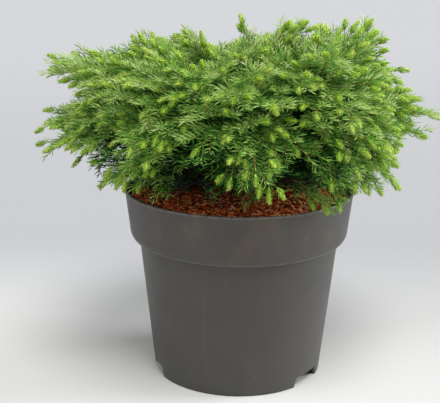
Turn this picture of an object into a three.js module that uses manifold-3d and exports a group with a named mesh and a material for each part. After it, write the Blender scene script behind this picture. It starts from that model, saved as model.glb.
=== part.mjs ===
// Potted dwarf black spruce: a low nest-shaped conifer in a round nursery pot, in millimetres, +Z up.
// The origin is the middle of the pot's flat underside, and the front of the plant faces -Y.
import * as THREE from "three";
import { mergeVertices } from "three/addons/utils/BufferGeometryUtils.js";
import Module from "manifold-3d";

const wasm = await Module();
wasm.setup();

// Clear gap between pieces that touch on the real plant
const GAP = 0.3;
const AROUND = 32;

// Pot: a thin tapered wall under a wide band, and a foot that stands on a skirt and a middle pad
const POT = {
  height: 238,
  wall: 2.2,
  footRadius: 107,
  bodyTopRadius: 125.5,
  bandFootRadius: 127.5,
  bandRadius: 137.5,
  rimRadius: 144,
  bandFoot: 173.5,
  shoulder: 15.5,
  lip: 4,
  channelRoof: 13,
  padRadius: 74,
  padSlope: 3,
  skirt: 4.5,
  footRound: 3,
};
const NOTCH = { halfWidth: 25.5, slope: 5.5, foot: 2, height: 12, depth: 26, centres: [-35.5, 84.5, 195.5] };
const DRAIN = { holes: 6, radius: 4.5, sides: 8, ring: 89 };

// Growing medium: fills the pot to just under its rim, with a low dome and a level seat for the stem
const MEDIUM = { underRim: 8, dome: 5, seatRadius: 20, crestRadius: 86, crestShare: 0.7 };

// Stem: short, leaning a little, with a root flare over a flat cut
const STEM = {
  length: 118,
  lean: new THREE.Vector2(6, 3),
  sides: 10,
  radii: [[0, 15.5], [0.05, 12.4], [0.14, 10.2], [0.4, 8.2], [0.75, 5.6], [1, 3.4]],
};
const BOUGH = { rootRadius: 3.9, tipRadius: 2.3, sides: 5, rings: 3, stagger: 9.5 };

// Tiers of branches from the foot of the stem up: how many, the first one's azimuth, the rise of the
// root over the soil, the height that the branch arches to, where its tip ends, and the share of it
// that is bough, the rest being the stem of the foliage mass
const TIERS = [
  {
    name: "skirt",
    count: 8,
    turn: 24,
    root: 12,
    arch: 300,
    reach: 238,
    tip: 266,
    bough: 0.42,
    green: 0x4c7a34,
  },
  {
    name: "side",
    count: 8,
    turn: 2,
    root: 33,
    arch: 332,
    reach: 250,
    tip: 332,
    bough: 0.42,
    green: 0x5c8b3a,
  },
  {
    name: "shoulder",
    count: 6,
    turn: 12,
    root: 56,
    arch: 372,
    reach: 212,
    tip: 408,
    bough: 0.4,
    green: 0x6f9d3f,
  },
  {
    name: "crown",
    count: 3,
    turn: 30,
    root: 80,
    arch: 394,
    reach: 94,
    tip: 446,
    bough: 0.34,
    green: 0x86b048,
  },
];
const BRANCH = { shortest: 0.93, looseTurn: 0.28, looseLift: 9, archOut: 0.52, archLift: 0.5 };

// Sprays of one mass in each tier, besides the one at its end: to both sides, standing up, hanging down
const SHOOTS = {
  skirt: { side: 5, upper: 2, lower: 1 },
  side: { side: 5, upper: 3, lower: 1 },
  shoulder: { side: 5, upper: 3, lower: 0 },
  crown: { side: 4, upper: 3, lower: 0 },
};
const TWIG = { from: 2.3, to: 1.4, sides: 3, rings: 2, end: 0.7 };

// The dense heart of a mass: a flattened, jagged body that the sprays stand out of
const CORE = {
  front: 62,
  back: 30,
  width: 50,
  thick: 26,
  jag: [0.58, 1.2],
  ofCrown: 0.8,
  ofCell: 1.2,
  along: 0.45,
};

// Room for the foliage: a flattened round crown, and a clear border between neighbouring masses
const CROWN = { middle: 312, across: 249, up: 136, down: 72, square: 3.2, border: 0.4, tilt: 0.07 };
const LIMB_CLEARANCE = 0.6;

// Sprays of needles: a stalk that widens into a toothed blade, by length, half width and thickness,
// and the angles in degrees at which they leave the stem of their mass
const SPRAY = { length: 82, halfWidth: 16, stalk: 1.25, thick: 1.3, under: 0.8, nod: 0.14, sunk: 13 };
const SIDE = { spread: 50, looseSpread: 16, raise: [-10, 14], from: 0.96, to: 0.08 };
const UPPER = { turn: 35, raise: [38, 58], size: 0.8, from: 0.2, to: 0.9 };
const LOWER = { turn: 30, raise: -34, size: 0.75, at: 0.7 };
const END_AT = 0.93;
const ROLL = 35;
const LENGTH_TRIES = [1, 0.86, 0.72, 0.6, 0.5];

// What each seeded number decides
const KIND = {
  azimuth: 1,
  reach: 2,
  lift: 3,
  sideSpread: 4,
  sideRaise: 5,
  upperTurn: 6,
  upperRaise: 7,
  lowerTurn: 8,
  roll: 9,
  core: 10,
};

const UP = new THREE.Vector3(0, 0, 1);
const radians = THREE.MathUtils.degToRad;

// The seeded rule: a number from 0 to 1 for a mass, one of its shoots and the kind of choice
function draw(mass, shoot, kind) {
  const value = Math.sin(mass * 12.9898 + shoot * 78.233 + kind * 37.719 + 4.1) * 43758.5453;
  return value - Math.floor(value);
}

const between = (low, high, share) => low + (high - low) * share;
const eitherWay = (most, share) => between(-most, most, share);

function material(name, colour, roughness) {
  const made = new THREE.MeshStandardMaterial({ color: colour, roughness, metalness: 0 });
  made.name = name;
  return made;
}

function welded(geometry) {
  const bare = geometry.clone();
  bare.deleteAttribute("normal");
  bare.deleteAttribute("uv");
  return mergeVertices(bare, 1e-4);
}

function toSolid(geometry) {
  const merged = welded(geometry);
  const vertProperties = new Float32Array(merged.attributes.position.array);
  const triVerts = new Uint32Array(merged.index.array);
  return new wasm.Manifold(new wasm.Mesh({ numProp: 3, vertProperties, triVerts }));
}

function toGeometry(solid) {
  const { vertProperties, triVerts } = solid.getMesh();
  const geometry = new THREE.BufferGeometry();
  geometry.setAttribute("position", new THREE.BufferAttribute(new Float32Array(vertProperties), 3));
  geometry.setIndex(new THREE.BufferAttribute(new Uint32Array(triVerts), 1));
  geometry.computeVertexNormals();
  return geometry;
}

// The largest body of a joined solid: loose scraps and sealed hollows are left behind
function wholeBody(solid) {
  const bodies = solid.decompose();
  return bodies.reduce((best, body) => (body.volume() > best.volume() ? body : best));
}

// A profile of radius and height points, turned round the upright axis
function turned(points) {
  const profile = points.map(([radius, height]) => new THREE.Vector2(radius, height));
  return new THREE.LatheGeometry(profile, AROUND).rotateX(Math.PI / 2);
}

// The shoulder under the band: a quarter of an ellipse from the band's foot out to its side
function shoulderPoints(inset, steps) {
  const points = [];
  for (let step = 0; step <= steps; step += 1) {
    const turn = (step / steps) * (Math.PI / 2);
    const out = (POT.bandRadius - POT.bandFootRadius) * Math.sin(turn);
    const rise = POT.shoulder * (1 - Math.cos(turn));
    points.push([POT.bandFootRadius - inset + out, POT.bandFoot + rise]);
  }
  return points;
}

// The pot's inner face from the middle of its floor up to the band, moved inwards by a clearance
function potInside(clear) {
  const inset = POT.wall + clear;
  const floor = POT.channelRoof + POT.wall + clear;
  return [
    [0, POT.wall + clear],
    [POT.padRadius - POT.wall - clear, POT.wall + clear],
    [POT.padRadius + POT.padSlope / 2 - clear, floor],
    [POT.footRadius - POT.skirt + 1 - clear, floor],
    [POT.bodyTopRadius - inset, POT.bandFoot + clear],
    ...shoulderPoints(inset, 2).slice(1),
  ];
}

function potGeometry() {
  const skirtInside = POT.footRadius - POT.skirt;
  const outside = [
    [0, 0],
    [POT.padRadius, 0],
    [POT.padRadius + POT.padSlope, POT.channelRoof],
    [skirtInside, POT.channelRoof],
    [skirtInside, 0],
    [POT.footRadius - POT.footRound / 2, 0],
    [POT.footRadius, POT.footRound],
    [POT.bodyTopRadius, POT.bandFoot],
    ...shoulderPoints(0, 4),
    [POT.rimRadius - 1, POT.height - POT.lip],
    [POT.rimRadius, POT.height - POT.lip + 1],
    [POT.rimRadius, POT.height - 1],
    [POT.rimRadius - 1, POT.height],
    [POT.rimRadius - POT.wall - 0.6, POT.height],
  ];
  let pot = toSolid(turned([...outside, ...potInside(0).reverse()]));
  for (const centre of NOTCH.centres) {
    pot = pot.subtract(notchSolid(centre));
  }
  for (let hole = 0; hole < DRAIN.holes; hole += 1) {
    const angle = (hole / DRAIN.holes) * 2 * Math.PI;
    const through = 6 * POT.wall;
    const tool = new THREE.CylinderGeometry(DRAIN.radius, DRAIN.radius, through, DRAIN.sides);
    tool.rotateX(Math.PI / 2);
    tool.translate(DRAIN.ring * Math.cos(angle), DRAIN.ring * Math.sin(angle), POT.channelRoof);
    pot = pot.subtract(toSolid(tool));
  }
  return toGeometry(pot);
}

// A drainage notch in the foot skirt: a flat-topped arch with sloping ends, cut along a radius
function notchSolid(centre) {
  const outline = new THREE.Shape([
    new THREE.Vector2(-NOTCH.halfWidth, -1),
    new THREE.Vector2(NOTCH.halfWidth, -1),
    new THREE.Vector2(NOTCH.halfWidth, NOTCH.foot),
    new THREE.Vector2(NOTCH.halfWidth - NOTCH.slope, NOTCH.height),
    new THREE.Vector2(NOTCH.slope - NOTCH.halfWidth, NOTCH.height),
    new THREE.Vector2(-NOTCH.halfWidth, NOTCH.foot),
  ]);
  const tool = new THREE.ExtrudeGeometry(outline, { depth: NOTCH.depth, bevelEnabled: false });
  tool.rotateX(Math.PI / 2);
  tool.translate(0, POT.footRadius - POT.skirt + NOTCH.depth / 2, 0);
  tool.rotateZ(radians(centre - 90));
  return toSolid(tool);
}

const soilEdge = POT.height - MEDIUM.underRim;
const soilSeat = soilEdge + MEDIUM.dome;

function mediumGeometry() {
  const bandHeight = POT.height - POT.bandFoot - POT.shoulder;
  const inside = between(POT.bandRadius, POT.rimRadius, 1 - MEDIUM.underRim / bandHeight);
  const edge = inside - POT.wall - 3 * GAP;
  const top = [
    [edge, soilEdge],
    [MEDIUM.crestRadius, between(soilEdge, soilSeat, MEDIUM.crestShare)],
    [MEDIUM.seatRadius, soilSeat],
    [0, soilSeat],
  ];
  return toGeometry(toSolid(turned([...potInside(GAP), ...top])));
}

// A tapering limb: a closed cylinder whose rings are set along a curve, with a radius for each share
function limbGeometry(curve, radiusAt, sides, rings) {
  const tube = new THREE.CylinderGeometry(1, 1, 1, sides, rings);
  const place = tube.attributes.position;
  const spot = new THREE.Vector3();
  for (let index = 0; index < place.count; index += 1) {
    spot.fromBufferAttribute(place, index);
    const share = THREE.MathUtils.clamp(spot.y + 0.5, 0, 1);
    const along = curve.getTangent(share);
    const side = new THREE.Vector3().crossVectors(along, UP);
    if (side.lengthSq() < 1e-6) {
      side.set(1, 0, 0);
    }
    side.normalize();
    const lift = new THREE.Vector3().crossVectors(side, along);
    const radius = radiusAt(share);
    const moved = curve.getPoint(share).addScaledVector(side, spot.x * radius);
    moved.addScaledVector(lift, spot.z * radius);
    place.setXYZ(index, moved.x, moved.y, moved.z);
  }
  return tube;
}

// The stem's middle line: upright at its foot and again at its tip, with its lean in between
function stemCentre(height) {
  const share = height / STEM.length;
  const bow = THREE.MathUtils.smoothstep(share, 0, 1);
  return new THREE.Vector3(STEM.lean.x * bow, STEM.lean.y * bow, soilSeat + GAP + height);
}

// The stem: level rings, so that its foot is a flat cut, with their centres on the leaning line
function stemGeometry(grown) {
  const rings = STEM.radii.length - 1;
  const tube = new THREE.CylinderGeometry(1, 1, 1, STEM.sides, rings);
  tube.rotateX(Math.PI / 2);
  const place = tube.attributes.position;
  for (let index = 0; index < place.count; index += 1) {
    const ring = Math.round((place.getZ(index) + 0.5) * rings);
    const [share, radius] = STEM.radii[ring];
    const centre = stemCentre(share * STEM.length);
    const x = centre.x + place.getX(index) * (radius + grown);
    const y = centre.y + place.getY(index) * (radius + grown);
    place.setXYZ(index, x, y, centre.z + (ring === rings ? grown : 0));
  }
  return tube;
}

// Every branch of every tier: one curve that the bough takes first and the mass's stem then follows
function branches() {
  const all = [];
  for (const tier of TIERS) {
    for (let number = 0; number < tier.count; number += 1) {
      const mass = all.length;
      const loose = BRANCH.looseTurn * (draw(mass, 0, KIND.azimuth) - 0.5);
      const azimuth = radians(tier.turn + ((number + loose) * 360) / tier.count);
      const rise = tier.root + (number % 2) * BOUGH.stagger;
      const root = stemCentre(rise);
      const out = new THREE.Vector3(Math.cos(azimuth), Math.sin(azimuth), 0);
      const reach = tier.reach * between(BRANCH.shortest, 1, draw(mass, 0, KIND.reach));
      const loft = eitherWay(BRANCH.looseLift, draw(mass, 0, KIND.lift));
      const lift = loft + CROWN.tilt * reach * out.x;
      const arch = out.clone().multiplyScalar(reach * BRANCH.archOut);
      arch.setZ(tier.arch + lift * BRANCH.archLift);
      const tip = out.clone().multiplyScalar(reach).setZ(tier.tip + lift);
      const curve = new THREE.QuadraticBezierCurve3(root, arch, tip);
      all.push({ mass, name: `${tier.name}_${number + 1}`, tier, curve });
    }
  }
  return all;
}

// A stretch of a branch, as a curve of its own
function part(curve, from, to) {
  const steps = [0, 0.25, 0.5, 0.75, 1];
  return new THREE.CatmullRomCurve3(steps.map((step) => curve.getPoint(between(from, to, step))));
}

function boughGeometry(branch, grown) {
  const curve = part(branch.curve, 0, branch.tier.bough);
  const radius = (share) => between(BOUGH.rootRadius, BOUGH.tipRadius, share) + grown;
  return limbGeometry(curve, radius, BOUGH.sides, BOUGH.rings);
}

// A spray of needles: stalk and toothed blade in one closed skin, sharp at its edge and thick along
// its ridge. Each side has three forward teeth, and the ridge has three points on each face.
function sprayGeometry(length, halfWidth) {
  const side = [
    [0, SPRAY.stalk],
    [0.24, SPRAY.stalk],
    [0.43, halfWidth * 0.92],
    [0.46, halfWidth * 0.28],
    [0.67, halfWidth],
    [0.69, halfWidth * 0.27],
    [0.87, halfWidth * 0.72],
  ];
  const ridge = [[0.02, 0.9], [0.42, 1], [0.64, 0.8]];
  const ridgeOfEdge = [0, 1, 1, 1, 1, 2, 2];
  const height = (share) => -SPRAY.nod * length * share * share;
  const rim = [...side, [1, 0], ...side.map(([share, out]) => [share, -out]).reverse()];
  const points = rim.map(([share, out]) => [share * length, out, height(share)]);
  const topStart = points.length;
  for (const [share, full] of ridge) {
    points.push([share * length, 0, height(share) + SPRAY.thick * full]);
  }
  const underStart = points.length;
  for (const [share, full] of ridge) {
    points.push([share * length, 0, height(share) - SPRAY.thick * full * SPRAY.under]);
  }
  const edges = [...ridgeOfEdge, ...[...ridgeOfEdge].reverse(), 0];
  const faces = [];
  edges.forEach((nearest, index) => {
    const next = (index + 1) % topStart;
    faces.push([next, index, topStart + nearest], [index, next, underStart + nearest]);
    const following = edges[(index + 1) % topStart];
    if (following !== nearest) {
      faces.push([next, topStart + nearest, topStart + following]);
      faces.push([next, underStart + following, underStart + nearest]);
    }
  });
  const geometry = new THREE.BufferGeometry();
  geometry.setAttribute("position", new THREE.Float32BufferAttribute(points.flat(), 3));
  geometry.setIndex(faces.flat());
  return geometry;
}

// Turns a spray so that it runs along one direction and faces another, and sets its root at a point
function placed(geometry, root, along, face) {
  const forward = along.clone().normalize();
  const side = new THREE.Vector3().crossVectors(face, forward).normalize();
  const top = new THREE.Vector3().crossVectors(forward, side);
  const frame = new THREE.Matrix4().makeBasis(forward, side, top).setPosition(root);
  return geometry.applyMatrix4(frame);
}

// The shoots of one mass, each with its root on the stem, its direction, its face and its length
function shootPlan(branch, stem) {
  const plan = [];
  const add = (share, angle, raise, size) => {
    const forward = stem.getTangent(share);
    const level = new THREE.Vector3().crossVectors(forward, UP).normalize();
    const lift = new THREE.Vector3().crossVectors(level, forward);
    const along = forward.clone().multiplyScalar(Math.cos(angle) * Math.cos(raise));
    along.addScaledVector(level, Math.sin(angle) * Math.cos(raise));
    along.addScaledVector(lift, Math.sin(raise));
    const face = lift.clone().addScaledVector(forward, -Math.sin(raise));
    face.applyAxisAngle(along, radians(eitherWay(ROLL, draw(branch.mass, plan.length, KIND.roll))));
    plan.push({ root: stem.getPoint(share), along, face, size });
  };
  const count = SHOOTS[branch.tier.name];
  const pick = (shoot, kind) => draw(branch.mass, shoot, kind);
  add(END_AT, 0, 0, 1);
  for (let shoot = 1; shoot <= count.side; shoot += 1) {
    const hand = shoot % 2 ? 1 : -1;
    const share = between(SIDE.from, SIDE.to, (shoot - 1) / (count.side - 1));
    const spread = SIDE.spread + eitherWay(SIDE.looseSpread / 2, pick(shoot, KIND.sideSpread));
    const raise = between(...SIDE.raise, pick(shoot, KIND.sideRaise));
    add(share, hand * radians(spread), radians(raise), 1 - share * 0.12);
  }
  for (let shoot = 1; shoot <= count.upper; shoot += 1) {
    const share = between(UPPER.from, UPPER.to, shoot / count.upper);
    const turn = eitherWay(UPPER.turn, pick(shoot, KIND.upperTurn));
    const raise = between(...UPPER.raise, pick(shoot, KIND.upperRaise));
    add(share, radians(turn), radians(raise), UPPER.size);
  }
  for (let shoot = 1; shoot <= count.lower; shoot += 1) {
    const turn = eitherWay(LOWER.turn, pick(shoot, KIND.lowerTurn));
    add(LOWER.at, radians(turn), radians(LOWER.raise), LOWER.size);
  }
  return plan;
}

// Whether a point is inside the crown's rounded outline, drawn in to a share of its full reach
function insideCrown(spot, share) {
  const rise = spot.z - CROWN.middle - CROWN.tilt * spot.x;
  const tall = (rise > 0 ? CROWN.up : CROWN.down) * share;
  const wide = Math.hypot(spot.x, spot.y) / (CROWN.across * share);
  return wide ** CROWN.square + (Math.abs(rise) / tall) ** CROWN.square <= 1;
}

// A mass's own space: nearer to its site than to any other, by more than the clear border
function insideCell(spot, site, others) {
  return others.every((other) => {
    const apart = other.clone().sub(site);
    const middle = other.clone().add(site).multiplyScalar(0.5);
    return spot.clone().sub(middle).dot(apart) / apart.length() < -CROWN.border;
  });
}

function fits(geometry, site, others) {
  const place = geometry.attributes.position;
  const spot = new THREE.Vector3();
  for (let index = 0; index < place.count; index += 1) {
    spot.fromBufferAttribute(place, index);
    if (!insideCrown(spot, 1) || !insideCell(spot, site, others)) {
      return false;
    }
  }
  return true;
}

// The core round a mass's site: each of its points is pulled in until it keeps to the mass's space,
// the side towards the bough is shorter, and the limbs that pass are cut out with room to spare
function coreSolid(branch, stem, site, others, limbs) {
  const forward = stem.getTangent(0.5);
  const level = new THREE.Vector3().crossVectors(forward, UP).normalize();
  const lift = new THREE.Vector3().crossVectors(level, forward);
  const core = welded(new THREE.IcosahedronGeometry(1, 1));
  const place = core.attributes.position;
  for (let index = 0; index < place.count; index += 1) {
    const ahead = place.getY(index) * (place.getY(index) < 0 ? CORE.back : CORE.front);
    const offset = level.clone().multiplyScalar(place.getX(index) * CORE.width);
    offset.addScaledVector(forward, ahead);
    offset.addScaledVector(lift, place.getZ(index) * CORE.thick);
    offset.multiplyScalar(between(...CORE.jag, draw(branch.mass, index, KIND.core)));
    const moved = site.clone().add(offset);
    const beyond = site.clone().addScaledVector(offset, CORE.ofCell);
    for (let size = 0.9; size > 0.1; size -= 0.1) {
      if (insideCrown(moved, CORE.ofCrown) && insideCell(beyond, site, others)) {
        break;
      }
      moved.copy(site).addScaledVector(offset, size);
      beyond.copy(site).addScaledVector(offset, size * CORE.ofCell);
    }
    place.setXYZ(index, moved.x, moved.y, moved.z);
  }
  return wholeBody(toSolid(core).subtract(limbs));
}

// How far a line from a point on the stem runs before it leaves the core, or zero where it starts outside
function wayOut(skin, root, along) {
  const hits = new THREE.Raycaster(root, along).intersectObject(skin);
  return hits.length % 2 ? hits[hits.length - 1].distance : 0;
}

// One mass of foliage: its stem, its core, and every spray that keeps to the mass's space and clear of
// the limbs at one of the lengths that are tried
function massGeometry(branch, stem, site, others, limbs) {
  const radius = (share) => between(TWIG.from, TWIG.to, share);
  const core = coreSolid(branch, stem, site, others, limbs);
  const skin = new THREE.Mesh(toGeometry(core), new THREE.MeshBasicMaterial({ side: THREE.DoubleSide }));
  const pieces = [toSolid(limbGeometry(stem, radius, TWIG.sides, TWIG.rings)), core];
  for (const { root, along, face, size } of shootPlan(branch, stem)) {
    const buried = Math.max(0, wayOut(skin, root, along) - SPRAY.sunk);
    const start = root.clone().addScaledVector(along, buried);
    for (const shorter of LENGTH_TRIES) {
      const length = SPRAY.length * size * shorter;
      const width = SPRAY.halfWidth * Math.sqrt(size * shorter);
      const spray = placed(sprayGeometry(length, width), start, along, face);
      if (!fits(spray, site, others)) {
        continue;
      }
      const solid = toSolid(spray);
      if (solid.intersect(limbs).isEmpty()) {
        pieces.push(solid);
        break;
      }
    }
  }
  return toGeometry(wholeBody(wasm.Manifold.union(pieces)));
}

const plant = new THREE.Group();

function addPiece(name, geometry, finish) {
  const mesh = new THREE.Mesh(geometry, finish);
  mesh.name = name;
  plant.add(mesh);
}

const bark = () => material("spruce_bark", 0x6a4a30, 0.9);
addPiece("pot", potGeometry(), material("pot_plastic", 0x55524e, 0.62));
addPiece("growing_medium", mediumGeometry(), material("bark_mulch", 0x6b3a1e, 0.95));
addPiece("stem", stemGeometry(0), bark());

const allBranches = branches();
const stemWithGap = toSolid(stemGeometry(GAP));
for (const branch of allBranches) {
  const bough = wholeBody(toSolid(boughGeometry(branch, 0)).subtract(stemWithGap));
  addPiece(`bough_${branch.name}`, toGeometry(bough), bark());
}

const limbs = wasm.Manifold.union([
  toSolid(stemGeometry(LIMB_CLEARANCE)),
  ...allBranches.map((branch) => toSolid(boughGeometry(branch, LIMB_CLEARANCE))),
]);
const massStems = allBranches.map(({ curve, tier }) => {
  const pastTip = (1.2 * GAP) / curve.getLength();
  return part(curve, tier.bough + pastTip, TWIG.end);
});
const sites = massStems.map((stem) => stem.getPoint(CORE.along));
allBranches.forEach((branch, index) => {
  const others = sites.filter((site, other) => other !== index);
  const geometry = massGeometry(branch, massStems[index], sites[index], others, limbs);
  const finish = material("spruce_needles", branch.tier.green, 0.7);
  addPiece(`foliage_${branch.name}`, geometry, finish);
});

export default plant;
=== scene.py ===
"""Potted dwarf black spruce: a round nursery pot, bark mulch, a short stem with its boughs, and a
low nest of shoots that carry needles and pale new growth. Sizes are in metres, angles in degrees."""

import math
from dataclasses import dataclass, replace

import bpy
import numpy as np
from mathutils import Matrix, Vector


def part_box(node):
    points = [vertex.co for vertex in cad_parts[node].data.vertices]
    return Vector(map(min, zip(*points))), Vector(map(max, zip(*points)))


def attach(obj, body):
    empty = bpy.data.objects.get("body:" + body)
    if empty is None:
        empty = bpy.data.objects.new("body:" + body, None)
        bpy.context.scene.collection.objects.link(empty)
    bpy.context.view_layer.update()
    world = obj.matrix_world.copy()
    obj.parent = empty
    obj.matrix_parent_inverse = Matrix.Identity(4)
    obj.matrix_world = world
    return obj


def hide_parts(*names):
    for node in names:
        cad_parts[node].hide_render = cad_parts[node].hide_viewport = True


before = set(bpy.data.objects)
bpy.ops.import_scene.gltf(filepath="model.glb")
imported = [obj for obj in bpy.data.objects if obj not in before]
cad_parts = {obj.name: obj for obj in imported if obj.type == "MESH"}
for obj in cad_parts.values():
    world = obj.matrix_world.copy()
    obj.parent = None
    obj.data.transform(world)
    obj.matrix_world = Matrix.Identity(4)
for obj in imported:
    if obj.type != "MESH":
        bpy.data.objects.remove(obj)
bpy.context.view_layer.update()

# Pot: the driving sizes of its turned wall
POT = {
    "height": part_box("pot")[1][2],
    "wall": 0.0022,
    "foot_radius": 0.107,
    "body_top_radius": 0.1255,
    "band_foot_radius": 0.1275,
    "band_radius": 0.1375,
    "rim_radius": 0.144,
    "band_foot": 0.1735,
    "shoulder": 0.0155,
    "ledge_drop": 0.0005,
    "ledge_round": 0.0004,
    "lip": 0.004,
    "lip_bead": 0.0011,
    "lip_round": 0.0012,
    "lip_inset": 0.0022,
    "channel_roof": 0.013,
    "pad_radius": 0.074,
    "pad_slope": 0.003,
    "pad_round": 0.002,
    "skirt": 0.0045,
    "foot_round": 0.0016,
}
SKIRT_INSIDE = POT["foot_radius"] - POT["skirt"]
NOTCH = {"half_width": 0.0255, "slope": 0.0055, "foot": 0.002, "height": 0.012,
         "centres": (-35.5, 84.5, 195.5), "ceiling": 0.002, "past_foot": 0.003}
DRAIN = {"holes": 6, "radius": 0.0045, "ring": 0.089, "depth": 0.0014, "edge": 0.0006, "from_skirt": 0.001}
POT_AROUND = 432
POT_SHARP = 42
CLOSE = 1e-5
TINY = 1e-9

# Unevenness, as layers of depth, cell size and seed
POT_LAYERS = ((0.00022, 0.07, 3), (0.00006, 0.012, 5))
POT_EVEN_BELOW = (0.02, 0.05)
SOIL_LAYERS = ((0.0016, 0.028, 11), (0.0009, 0.009, 12), (0.0005, 0.0035, 13))

# Growing medium: a low dome under the rim
MEDIUM = {"under_rim": 0.008, "dome": 0.005, "seat_radius": 0.02, "crest_radius": 0.086,
          "crest_share": 0.7, "sunk": 0.0006, "even_within": (0.014, 0.024), "around": 220, "rings": 70}
SOIL_EDGE = POT["height"] - MEDIUM["under_rim"]
SOIL_SEAT = SOIL_EDGE + MEDIUM["dome"]

# Chips that lie on the medium, and crumbs on the rim. Painted shade darkens the chips, and the ground between
# them, from the first Y back to the second
CHIP = {"count": 6600, "clear_of_stem": 0.017, "clear_of_wall": 0.002, "loose_turn": 0.02,
        "loose_radius": 0.0015, "lift": (-0.0002, 0.0012), "raised": 0.35, "corners": (0.45, 1.1),
        "fibres": 0.3, "fibre_length": (0.008, 0.019), "fibre_width": 0.0009, "fibre_thick": 0.0007,
        "flakes": 0.09, "flake_length": (0.009, 0.017), "flake_wider": 1.5,
        "length": (0.003, 0.0075), "width": (0.0015, 0.0042), "thick": (0.0008, 0.0020),
        "dip": 0.5, "roll": 0.6, "painted_shade": (-0.05, 0.03), "shade_darker": 0.86, "roughness": 0.82}
CRUMBS = {"count": 9, "turns": (-72.0, -48.0), "from_rim": (0.0012, 0.0022), "size": 0.5}

# Stem and boughs, by the same rule as the solids
GAP = 0.0003
STEM = {"length": 0.118, "lean": (0.006, 0.003), "rings": 130, "sides": 64, "scales": 0.0009,
        "bark_seed": 21, "smooth_foot": 0.03}
STEM_SHARES = (0.0, 0.05, 0.14, 0.4, 0.75, 1.0)
STEM_RADII = (0.0155, 0.0124, 0.0102, 0.0082, 0.0056, 0.0034)
FLARE = {"depth": 0.13, "fade": 0.08, "buttresses": 5, "turn": 0.8}
BOUGH = {"root_radius": 0.0039, "tip_radius": 0.0023, "stagger": 0.0095, "rings": 46, "sides": 20,
         "scales": 0.0005, "bark_seed": 31, "overlap": 0.01}
BARK_LAYERS = {"large": (0.65, 0.0032), "small": (0.35, 0.0013), "drawn_out": np.array([1, 1, 0.6])}
TIER_KEYS = ("name", "count", "turn", "root", "arch", "reach", "tip", "bough", "side", "upper", "lower",
             "droop", "over")
TIERS = [dict(zip(TIER_KEYS, row, strict=True)) for row in (
    ("skirt", 8, 24, 0.012, 0.300, 0.238, 0.266, 0.42, 5, 2, 1, -0.12, 0.60),
    ("side", 8, 2, 0.033, 0.332, 0.250, 0.332, 0.42, 5, 3, 1, -0.10, 0.55),
    ("shoulder", 6, 12, 0.056, 0.372, 0.212, 0.408, 0.40, 5, 3, 0, -0.02, 0.30),
    ("crown", 3, 30, 0.080, 0.394, 0.094, 0.446, 0.34, 4, 3, 0, 0.05, 0.08),
)]
BRANCH = {"shortest": 0.93, "loose_turn": 0.28, "loose_lift": 0.009, "arch_out": 0.52, "arch_lift": 0.5}

# Room for the foliage: a flattened round crown, shared out between the masses
CROWN = {"middle": 0.312, "across": 0.224, "down": 0.074, "square": 4.6, "tilt": 0.07,
         "back_fall": 0.06, "least_rise": 0.012}
CROWN_STATIONS = (-0.245, -0.225, -0.165, -0.135, -0.115, -0.07, -0.055, -0.02,
                  0.0, 0.03, 0.075, 0.115, 0.155, 0.18, 0.21, 0.24)
CROWN_TOPS = (0.396, 0.404, 0.410, 0.416, 0.426, 0.426, 0.408, 0.411,
              0.424, 0.424, 0.437, 0.447, 0.440, 0.390, 0.362, 0.336)
DENTS = {"from": 0.11, "to": 0.18, "heights": (0.355, 0.302), "widths": (0.018, 0.009),
         "depths": (0.085, 0.05)}
LOBES = {"size": 0.075, "depth": 0.07, "seed": 47, "least": -0.3}
# The grooves also darken the foliage's tones by their dark share, as painted shade
GROOVES = {"turns": (-142, -99, -73, -20, 35, 82, 150), "widths": (7.5,) * 7,
           "shares": (1.2, 0.6, 0.45, 0.8, 0.8, 1, 0.9), "depth": 0.13, "dark": 0.16,
           "fade": (0.322, 0.362), "starts": (0.4, 0.8)}
FRINGE = {"lowest": 0.243, "from": 0.12, "slope": 0.42, "front": 0.016, "clumps": 0.013,
          "clump_size": 0.05, "clump_seed": 41, "side_from": 0.13, "right_slope": 0.6,
          "left_slope": 0.3, "bell_turns": (-111, -71, -50, -25), "bell_widths": (9, 5, 11, 10),
          "bells": (0.044, 0.036, -0.045, 0.032), "starts": (0.05, 0.13)}
SITE_AT = 0.45
MASS_STEM_END = 0.7

# First shoots of a mass, by the same rule as the solids
SPRAY_LENGTH = 0.15
SIDE = {"spread": 50, "loose": 16, "raise": (-10, 14), "from": 0.96, "to": 0.08}
UPPER = {"turn": 35, "raise": (38, 58), "from": 0.2, "to": 0.9}
LOWER = {"turn": 30, "raise": -34, "at": 0.7}
END_AT = 0.93
ROLL = 35
SWEEP = {"out": 0.34, "standing_out": 0.3, "front_droop": 0.5, "upper_droop": 0.45, "low_tiers": -0.05,
         "loose": 0.06, "shortest": 0.8}

# Shoots that fill the crown's inside, and the long arms that reach over it
INNER = {"count": 14, "from": 0.2, "to": 1.0, "turn": (20, 120), "raise": (-62, 62), "length": 0.12,
         "numbered_from": 20, "standing_above": 25, "standing": 0.6}
ARMS = {"count": 285, "rises": (-0.62, 0.98), "flat": 0.5, "back": 0.060, "loose_back": (0.6, 1.4),
        "from": 0.3, "above": 0.035, "turning": 0.8, "longest": 0.19, "face_out": 0.7,
        "heights": (0.25, 0.28, 0.32, 0.36, 0.40, 0.44), "slopes": (-62, -50, -28, -12, 14, 52),
        "loose_slope": 9, "front_slope": -34, "steepest": -78, "fan": 34, "fan_over": 14,
        "loose_fan": 16, "stand": (0.90, 1.02), "further": 0.04, "further_share": 0.15, "growth": 0.008}
SEARCH = {"reach": 0.6, "halvings": 24, "places": 30}

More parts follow.
